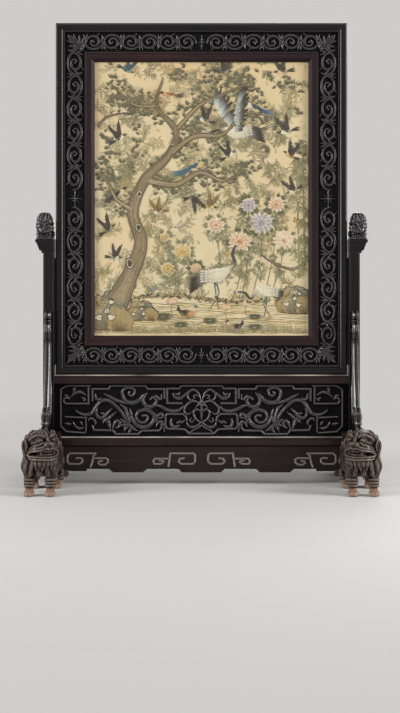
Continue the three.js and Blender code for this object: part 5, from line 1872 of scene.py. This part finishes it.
def lion_head(clay):
    """The head in its own frame: -Y is the way it looks, the origin is its middle."""
    clay.ball((0, 8, 2), (38, 34, 33), soft=10)
    clay.ball((0, -10, 20), (29, 25, 17), soft=9)
    clay.ball((0, -24, -1), (32, 22, 15), soft=7)
    clay.ball((0, -16, -26), (30, 26, 10), soft=6)
    # Mouth: a wide cut between two ribbed lips, with teeth and a tongue
    clay.ball((0, -38, -14), (30, 22, 7.2), (6, 0, 0), 1.5, carve=True)
    for s in (-1, 1):
        clay.ball((s * 24, -24, -13), (11, 18, 6.4), (0, s * 8, s * -24), 1.5, carve=True)
    clay.ball((0, -26, -16), (19, 16, 3.2), (8, 0, 0), 1)
    for k in range(-5, 6):
        a = math.radians(k * 13)
        upper = (25 * math.sin(a), -20 - 22 * math.cos(a), -9.4 + 0.3 * abs(k))
        clay.ball(upper, (3, 2.4, 3.4), soft=0.4)
        clay.ball((23 * math.sin(a), -19 - 20 * math.cos(a), -20.4), (2.8, 2.2, 2.8), soft=0.4)
    for s in (-1, 1):
        clay.rod([(s * 17, -38, -8), (s * 17.5, -39.5, -17)], [3, 1], 0.5)
    for lift, out, radius in ((-4.6, 0, 2.7), (0.4, 0.6, 2.4)):
        corner = [(-39, -4, -16 + lift), (-34, -22, -6 + lift), (-22, -40, -2.5 + lift)]
        lion_lip(clay, [*corner, (-9, -46 - out, 2.4 + lift), (0, -45.5 - out, 0.6 + lift)], radius)
    for lift, out, radius in ((-23.5, 0, 2.7), (-29, 1.2, 2.6)):
        corner = [(-39, -4, -16), (-35, -18, lift + 1), (-22, -36 - out, lift)]
        lion_lip(clay, [*corner, (0, -43 - out, lift - 1)], radius)
    # Nose, nostrils and the folds beside it
    clay.ball((0, -43, 8), (12, 8.5, 7), (-14, 0, 0), 3)
    for s in (-1, 1):
        clay.ball((s * 7.6, -46.5, 6.4), (5.2, 5, 4.4), soft=1.5)
        clay.ball((s * 7.4, -51.4, 5.4), (2.4, 2.4, 1.9), soft=0.6, carve=True)
        fold = [(s * 12, -42, 12), (s * 20, -38, 6), (s * 29, -27, 2), (s * 35, -14, -4)]
        clay.rod(bend(fold, 5), [2.0, 2.8, 2.0], 1.0)
    # Eyes under curled brows
    turn = np.linspace(0, 2 * math.pi, 18)
    for s in (-1, 1):
        clay.ball((s * 16.5, -33.5, 15), (7.2, 6.2, 6.6), soft=1.0)
        rim = np.stack([s * (16.5 + 9 * np.cos(turn)), -35.2 + 3.4 * abs(np.cos(turn)),
                        15 + 8 * np.sin(turn)], 1)
        clay.rod(rim, 1.7, 0.7)
        clay.ball((s * 15.5, -40.6, 14.4), (1.8, 1.6, 1.9), soft=0.4, carve=True)
        brow = [(s * 4, -36, 20), (s * 11, -36.5, 26), (s * 21, -31, 27.5), (s * 30, -21, 23),
                (s * 36, -12, 14)]
        clay.rod(bend(brow, 5), [2.4, 4.2, 3.8, 1.2], 1.2)
        clay.curl((s * 9.5, -27, 31), 7.6, (s, 0.1, 0.15), (0, 0.6, 1), 1.5, hand=s)
        clay.curl((s * 24.5, -17.5, 31), 7.4, (s, 0.4, 0), (0, 0.7, 1), 1.4, hand=-s)
    clay.rod(bend([(0, -44, 14), (0, -38, 22), (0, -31, 30), (0, -20, 36)], 5), [4.4, 3.6, 3.2, 2], 1.6)
    # Leaf ears, cupped forwards
    turn = np.linspace(0, 2 * math.pi, 20)
    for s in (-1, 1):
        clay.ball((s * 41, 0, 1), (5.6, 12.5, 16), (0, s * -12, s * 28), 1.6)
        clay.ball((s * 45.5, -3.6, 1.4), (4.6, 7.8, 11), (0, s * -12, s * 28), 1, carve=True)
        rim = np.stack([s * (42.5 + 1.6 * np.cos(turn)), -2 + 10 * np.cos(turn),
                        1 + 13.6 * np.sin(turn)], 1)
        clay.rod(rim, 1.9, 0.7)
        lion_flames(clay, s, ((40, 2, -8, 4), (42, -4, -16, 4), (38, -8, -25, 4)), [4.6, 4, 0.8])
    # Snail curls over the crown and down the back of the head
    for ring, (z, radius, first, last, count) in enumerate(
        ((30, 21, 10, 170, 5), (21, 31, -2, 182, 7), (8, 37.5, 12, 168, 7), (-6, 38, 20, 160, 6))
    ):
        for k in range(count):
            a = math.radians(first + (last - first) * k / (count - 1))
            out = np.array([math.cos(a), math.sin(a), 0.25 + 0.022 * z])
            spot = np.array([radius * math.cos(a), 6 + (radius - 4) * math.sin(a), z])
            side_way = np.array([-math.sin(a), math.cos(a), 0])
            clay.curl(spot, 8.2, side_way, np.cross(out, side_way), 1.4, hand=1 if (k + ring) % 2 else -1)
    # Beard of flame locks under the jaw
    for k in range(9):
        a = math.radians(-72 + 18 * k)
        x, y = 29 * math.sin(a), -14 - 23 * math.cos(a)
        sway = 4 * math.sin(1.7 * k)
        line = bend([(x * 0.9, y + 4, -28), (x * 1.04, y - 1, -40),
                     (x + sway, y + 5, -54 - 3 * (k % 2))], 5)
        clay.rod(line, [6.4, 5.2, 0.9], 1.0)


lion = lion_foot()
touched = np.clip((LION_TOUCHED - lion[0][:, 2]) / LION_TOUCH_FADE, 0, 1)
for foot in clay_at_corners("lion_carving", lion, lion_carved, "foot_lion"):
    paint(foot, "handled", touched)


# Finial lions: a lion crouched on each plinth, its large face over its forepaws

FINIAL_MIDDLE = 392.5
FINIAL_FOOT = 608.6
POST_INNER = 368.5
GROOVE_DEPTH = 9
GROOVE_WIDTH = 14


def finial_lion():
    """The right finial, facing -Y; its near side is cut back for the screen and its tongue."""
    clay = Clay((366, -29, 605), (420, 29, 682), 0.75)
    clay.stand((FINIAL_MIDDLE, 0, FINIAL_FOOT))
    clay.slab((-23, -25, 0), (21, 25, 3), 1)
    clay.ball((0, 8, 24), (20, 18, 24), soft=6)
    clay.ball((0, -3, 42), (20.5, 19, 22.5), soft=6)
    finial_face(clay)
    finial_mane(clay)
    for s in (-1, 1):
        clay.ball((s * 15, 10, 12), (7.5, 14, 12), (0, 0, s * 8), 3)
        clay.curl((s * 20.5, 10, 14), 7.5, (0, s, 0), (0, 0, 1), 1.5, hand=-s)
    clay.rod(bend([(0, 20, 6), (0, 25, 20), (0, 22, 36), (0, 17, 50)], 5), [6, 7, 5, 2], 1.5)
    clay.curl((0, 26, 20), 7, (-1, 0, 0), (0, 0, 1), 1.5)
    clay.slab((-60, -60, -30), (60, 60, 0.1), 0, carve=True)
    # Room for the lifted screen's edge, and for its tongue
    inner = POST_INNER + FIT - FINIAL_MIDDLE
    groove = GROOVE_WIDTH / 2 + 0.5
    clay.slab((-60, -60, -10), (inner, 60, 100), 0, carve=True)
    clay.slab((-60, -groove, -10), (inner + GROOVE_DEPTH, groove, 100), 0, carve=True)
    return clay.surface()


def finial_face(clay):
    """Bushy brows over round eyes, a broad nose on two whisker pads, and a small mouth between the paws."""
    clay.ball((0, -13, 22), (18, 11, 15), soft=6)
    clay.ball((0, -25, 11.5), (6.6, 8, 6), soft=1, carve=True)
    clay.ball((0, -20, 8.4), (4.6, 4, 1.8), soft=0.8)
    clay.ball((0, -26.2, 24.4), (4.6, 3, 3), soft=1.4)
    for s in (-1, 1):
        clay.ball((s * 5.6, -23, 20), (6, 5, 4.6), soft=1.6)
        clay.ball((s * 1.9, -29, 23.6), (1, 1, 0.9), soft=0.3, carve=True)
        for k in range(3):
            whisker = (s * (4.4 + 2.4 * (k % 2) + 0.8 * k), -27.4 + 0.8 * k, 18.6 + 1.6 * k)
            clay.ball(whisker, 0.7, soft=0.2, carve=True)
        clay.ball((s * 10, -19.4, 32.5), (4.3, 4.2, 4.2), soft=0.6)
        turn = np.linspace(0, 2 * math.pi, 16)
        rim = np.stack([s * (10 + 5.2 * np.cos(turn)), -20.6 + 1.6 * abs(np.cos(turn)),
                        32.5 + 4.8 * np.sin(turn)], 1)
        clay.rod(rim, 1, 0.4)
        clay.ball((s * 9.8, -23.8, 32.2), 1.1, soft=0.3, carve=True)
        brow = [(s * 3, -23, 36.5), (s * 8, -23, 40.5), (s * 14, -20.5, 41.5), (s * 19, -14, 38.5)]
        clay.rod(bend(brow, 5), [2.6, 3.6, 3.6, 1.6], 0.8)
        for k in range(4):
            hair = [(s * (5 + 3.4 * k), -25.4 + 0.9 * k, 38.4 + 0.8 * k),
                    (s * (6.6 + 3.7 * k), -24.6 + 1.2 * k, 44 - 0.2 * k)]
            clay.rod(hair, [1.6, 0.7], 0.4)
        clay.curl((s * 18, -15.5, 31), 5, (s, 0.7, 0), (0, 0, 1), 1.4, hand=s)
        clay.curl((s * 16.8, -18.2, 23), 4.6, (s, 0.7, 0), (0, 0, 1), 1.4, hand=-s)
        lip = [(s * 1, -25.6, 17.2), (s * 5.4, -24.6, 16.6), (s * 8.4, -21.6, 13), (s * 8, -20.6, 8),
               (s * 4, -22.6, 5), (0, -23.2, 4.6)]
        clay.rod(bend(lip, 5), [1.3, 1.5, 1.5, 1.5, 1.4], 0.5)
        clay.rod([(s * 3.8, -24.6, 16), (s * 4, -24.2, 12.4)], [1.2, 0.5], 0.3)
        for z in (14.5, 7.5):
            clay.ball((s * 14.4, -20.5, z), (3.5, 3.3, 3.3), soft=0.5)
        for k in range(3):
            clay.ball((s * (9.5 + 4.2 * k), -23.5 + 0.9 * k, 2.8), (2.3, 3.6, 2.8), soft=0.6)
    clay.rod(bend([(0, -26, 27), (0, -23, 33), (0, -22.5, 40)], 5), [2.8, 2, 1.8], 1)
    for x, z, radius in ((0, 46, 5), (-7.5, 48.5, 4.2), (7.5, 48.5, 4.2)):
        clay.curl((x, -21 + 0.1 * abs(x), z), radius, (1, 0, 0), (0, 0.35, 1), 1.5,
                  hand=1 if x > 0 else -1)


def finial_mane(clay):
    """Locks that wind down from the crown, each ending in a curl."""
    crown = np.array([0, 1, 66.5])
    clay.ball(crown - (0, 0, 3), (7, 7, 3.6), soft=3)
    for k in range(11):
        lock = [crown]
        for share, reach, height in ((0.25, 8, 65), (0.6, 15, 59.5), (1, 19.6, 50)):
            a = math.radians(-150 + 360 * k / 11 + 26 * share)
            lock.append((reach * math.cos(a), -2 + reach * 0.94 * math.sin(a), height))
        clay.rod(bend(lock, 5), [1.4, 2.4, 3.2, 2.4], 0.5)
        a = math.radians(-150 + 360 * k / 11 + 32)
        spot = (20 * math.cos(a), -2 + 18.8 * math.sin(a), 47.5)
        if spot[1] > -17:
            clay.curl(spot, 5, (-math.sin(a), math.cos(a), 0), (0.2 * math.cos(a), 0.2 * math.sin(a), 1),
                      1.4, hand=(-1) ** k)
    for ring, (height, radius, count) in enumerate(((30, 20.5, 6), (39, 20.8, 7))):
        for k in range(count):
            a = math.radians(-12 + 204 * (k + 0.5 * ring) / count)
            spot = (radius * math.cos(a), radius * 0.95 * math.sin(a), height)
            clay.curl(spot, 6, (-math.sin(a), math.cos(a), 0), (0, 0, 1), 1.4, hand=(-1) ** (k + ring))


finial = finial_lion()
for side, hand in (("right", 1), ("left", -1)):
    replaced = f"finial_lion_{side}"
    clay_object(f"finial_carving_{side}", finial, (hand, 1), dark_carved["z"], replaced)


# Spandrels: standing brackets with two scrolls, beaded along their outer edge

SPANDREL_FOOT = 128.3
SPANDREL_HEIGHT = 300
SPANDREL_THICKNESS = 17
SPANDREL_REACH = 104
POST_FACE = 21.3


def spandrel_edge():
    """Outer edge from the foot's tip to the top: (distance out from the post, height)."""
    foot = [(SPANDREL_REACH, 2), (SPANDREL_REACH - 1, 14), (SPANDREL_REACH - 12, 21), (80, 22)]
    lower_scroll = [(72, 30), (73, 44), (70, 57), (58, 65), (46, 62), (41, 66)]
    neck = [(36, 84), (26, 118), (18, 160), (14, 200), (13, 226)]
    upper_scroll = [(20, 236), (25, 250), (22, 266), (14, 274), (12, 279)]
    tip = [(17, 285), (17, 294), (10, 299), (0, SPANDREL_HEIGHT)]
    return bend(foot + lower_scroll + neck + upper_scroll + tip, 4)


def spandrel():
    """The front right spandrel."""
    clay = Clay((368, -132, 126), (396, -18, 432), 1.0)
    clay.stand((POST_CENTRE, -POST_FACE, SPANDREL_FOOT))
    edge = spandrel_edge()
    outline = [(0, 0), *[(-a, h) for a, h in edge[::-1]], (-SPANDREL_REACH, 0)]
    half = SPANDREL_THICKNESS / 2
    clay.plate(outline, half - 1, 0, 1.2)
    for s in (-1, 1):
        clay.rod([(s * (half - 2.9), -a + 1.4, h) for a, h in edge], 2.9, 0.6)
        # Hollow beside the bead on each face
        inset = [(s * (half + 0.4), -max(a - 6.5, 0.5), h) for a, h in edge[22:64]]
        clay.rod(inset, 1.5, 0.5, carve=True)
        for y, z, radius, turns, thick, hand in (
            (-57, 44, 14, 1.7, 4.2, -1),
            (-13.5, 251, 10.5, 1.6, 3.2, -1),
            (-11, 289, 5.6, 1.2, 2.2, 1),
            (-90, 11, 8, 1.4, 2.8, 1),
        ):
            clay.curl((s * (half - 1.2), y, z), radius, (0, s, 0), (0, 0, 1), turns, thick, hand,
                      rise=0.12)
        leaf = bend([(-38, 24), (-28, 60), (-16, 104), (-10, 150)], 6)
        clay.rod([(s * (half - 0.6), y, z) for y, z in leaf], [1.2, 3.4, 2.6, 0.8], 1.0)
        for k in range(3):
            vein = bend([(-34 + 5 * k, 36 + 22 * k), (-24 + 4 * k, 40 + 24 * k),
                         (-12 + 2 * k, 34 + 24 * k)], 5)
            clay.rod([(s * (half - 0.4), y, z) for y, z in vein], [0.8, 2.4, 0.8], 0.8)
    clay.rod([(0, -a - 0.6, h) for a, h in edge], 1.6, 0.5, carve=True)
    # The two knobs on each scroll's brow
    for a, h, radius in ((72, 50, 4.2), (24.5, 252, 4.4)):
        for s in (-1, 1):
            clay.ball((s * 4.6, -a + 0.5, h), (radius, radius * 0.8, radius * 1.9), soft=1)
    clay.slab((-40, 0, -30), (40, 40, 330), 0, carve=True)
    clay.slab((-40, -160, -30), (40, 40, 0), 0, carve=True)
    return clay.surface()


clay_at_corners("spandrel_carving", spandrel(), dark_carved["z"], "spandrel")


# Stage, light and camera


def stage_floor():
    """A pale round floor that fades out, so that the pale background continues it."""
    shader = Shader("pale_floor")
    shader.settle({"Base Color": (*srgb(206, 204, 200), 1), "Roughness": 0.75})
    coordinates = shader.add("TexCoord")
    distance = shader.add("VectorMath", operation="LENGTH")
    shader.link(coordinates.outputs["Object"], distance.inputs[0])
    fade = shader.remap(distance.outputs["Value"], FLOOR_CLEAR * MM, FLOOR_RADIUS * MM, 1, 0)
    shader.link(fade, shader.surface.inputs["Alpha"])
    sides = 64
    rings = np.linspace(0, FLOOR_RADIUS, 12)[1:]
    around = np.linspace(0, 2 * math.pi, sides, endpoint=False)
    vertices = [(0, 0, 0)] + [(r * math.cos(a) * MM, r * math.sin(a) * MM, 0) for r in rings
                              for a in around]
    faces = [(0, 1 + k, 1 + (k + 1) % sides) for k in range(sides)]
    for ring in range(len(rings) - 1):
        inner = 1 + sides * ring
        outer = inner + sides
        for k in range(sides):
            after = (k + 1) % sides
            faces.append((inner + k, outer + k, outer + after, inner + after))
    mesh = bpy.data.meshes.new("floor")
    mesh.from_pydata(vertices, [], faces)
    mesh.materials.append(shader.material)
    made = bpy.data.objects.new("floor", mesh)
    bpy.context.scene.collection.objects.link(made)


def studio_world():
    """Dim light from all round, and a pale background where the camera or a reflection meets it."""
    world = bpy.data.worlds.new("studio")
    world.use_nodes = True
    nodes, links = world.node_tree.nodes, world.node_tree.links
    light = nodes["Background"]
    light.inputs["Color"].default_value = (0.93, 0.95, 1, 1)
    light.inputs["Strength"].default_value = AMBIENT
    pale = nodes.new("ShaderNodeBackground")
    pale.inputs["Color"].default_value = (*srgb(206, 205, 202), 1)
    pale.inputs["Strength"].default_value = 1
    path = nodes.new("ShaderNodeLightPath")
    seen = path.outputs["Is Camera Ray"]
    for kind in ("Is Glossy Ray", "Is Transmission Ray"):
        either = nodes.new("ShaderNodeMath")
        either.operation = "MAXIMUM"
        links.new(seen, either.inputs[0])
        links.new(path.outputs[kind], either.inputs[1])
        seen = either.outputs[0]
    mix = nodes.new("ShaderNodeMixShader")
    links.new(seen, mix.inputs[0])
    links.new(light.outputs[0], mix.inputs[1])
    links.new(pale.outputs[0], mix.inputs[2])
    links.new(mix.outputs[0], nodes["World Output"].inputs["Surface"])
    bpy.context.scene.world = world


def softbox(name, place, aim, width, height, power):
    """An area light at a place in millimetres, turned to its aim; power is in watts."""
    light = bpy.data.lights.new(name, "AREA")
    light.shape = "RECTANGLE"
    light.size = width * MM
    light.size_y = height * MM
    light.energy = power
    made = bpy.data.objects.new(name, light)
    bpy.context.scene.collection.objects.link(made)
    made.location = Vector(place) * MM
    made.rotation_euler = (Vector(aim) - Vector(place)).to_track_quat("-Z", "Y").to_euler()


def light_and_camera():
    """Tall softboxes at both sides, weaker ones above and behind, and the photograph's own view."""
    softbox("softbox_left", (-2900, -1250, 1350), (0, 0, 620), 800, 2500, 100)
    softbox("softbox_right", (2900, -1100, 1350), (0, 0, 620), 800, 2500, 110)
    softbox("softbox_over", (0, -2400, 3200), (0, 0, 600), 2600, 1600, 26)
    softbox("softbox_back", (1200, 3400, 2400), (0, 0, 560), 1800, 1800, 36)
    camera = bpy.data.cameras.new("camera")
    camera.sensor_fit = "VERTICAL"
    camera.sensor_height = SENSOR
    camera.lens = SENSOR * CAMERA_DISTANCE / (PHOTO_HEIGHT * PHOTO_SCALE)
    camera.shift_x = (PHOTO_WIDTH / 2 - CENTRE_COLUMN) / PHOTO_HEIGHT
    camera.shift_y = (HORIZON_ROW - PHOTO_HEIGHT / 2) / PHOTO_HEIGHT
    camera.clip_end = 100
    made = bpy.data.objects.new("camera", camera)
    bpy.context.scene.collection.objects.link(made)
    made.location = (0, -(CAMERA_DISTANCE + FRAME_FRONT) * MM, CAMERA_HEIGHT * MM)
    made.rotation_euler = (math.pi / 2, 0, 0)
    bpy.context.scene.camera = made
    bpy.context.scene.view_settings.view_transform = "Standard"


stage_floor()
studio_world()
light_and_camera()
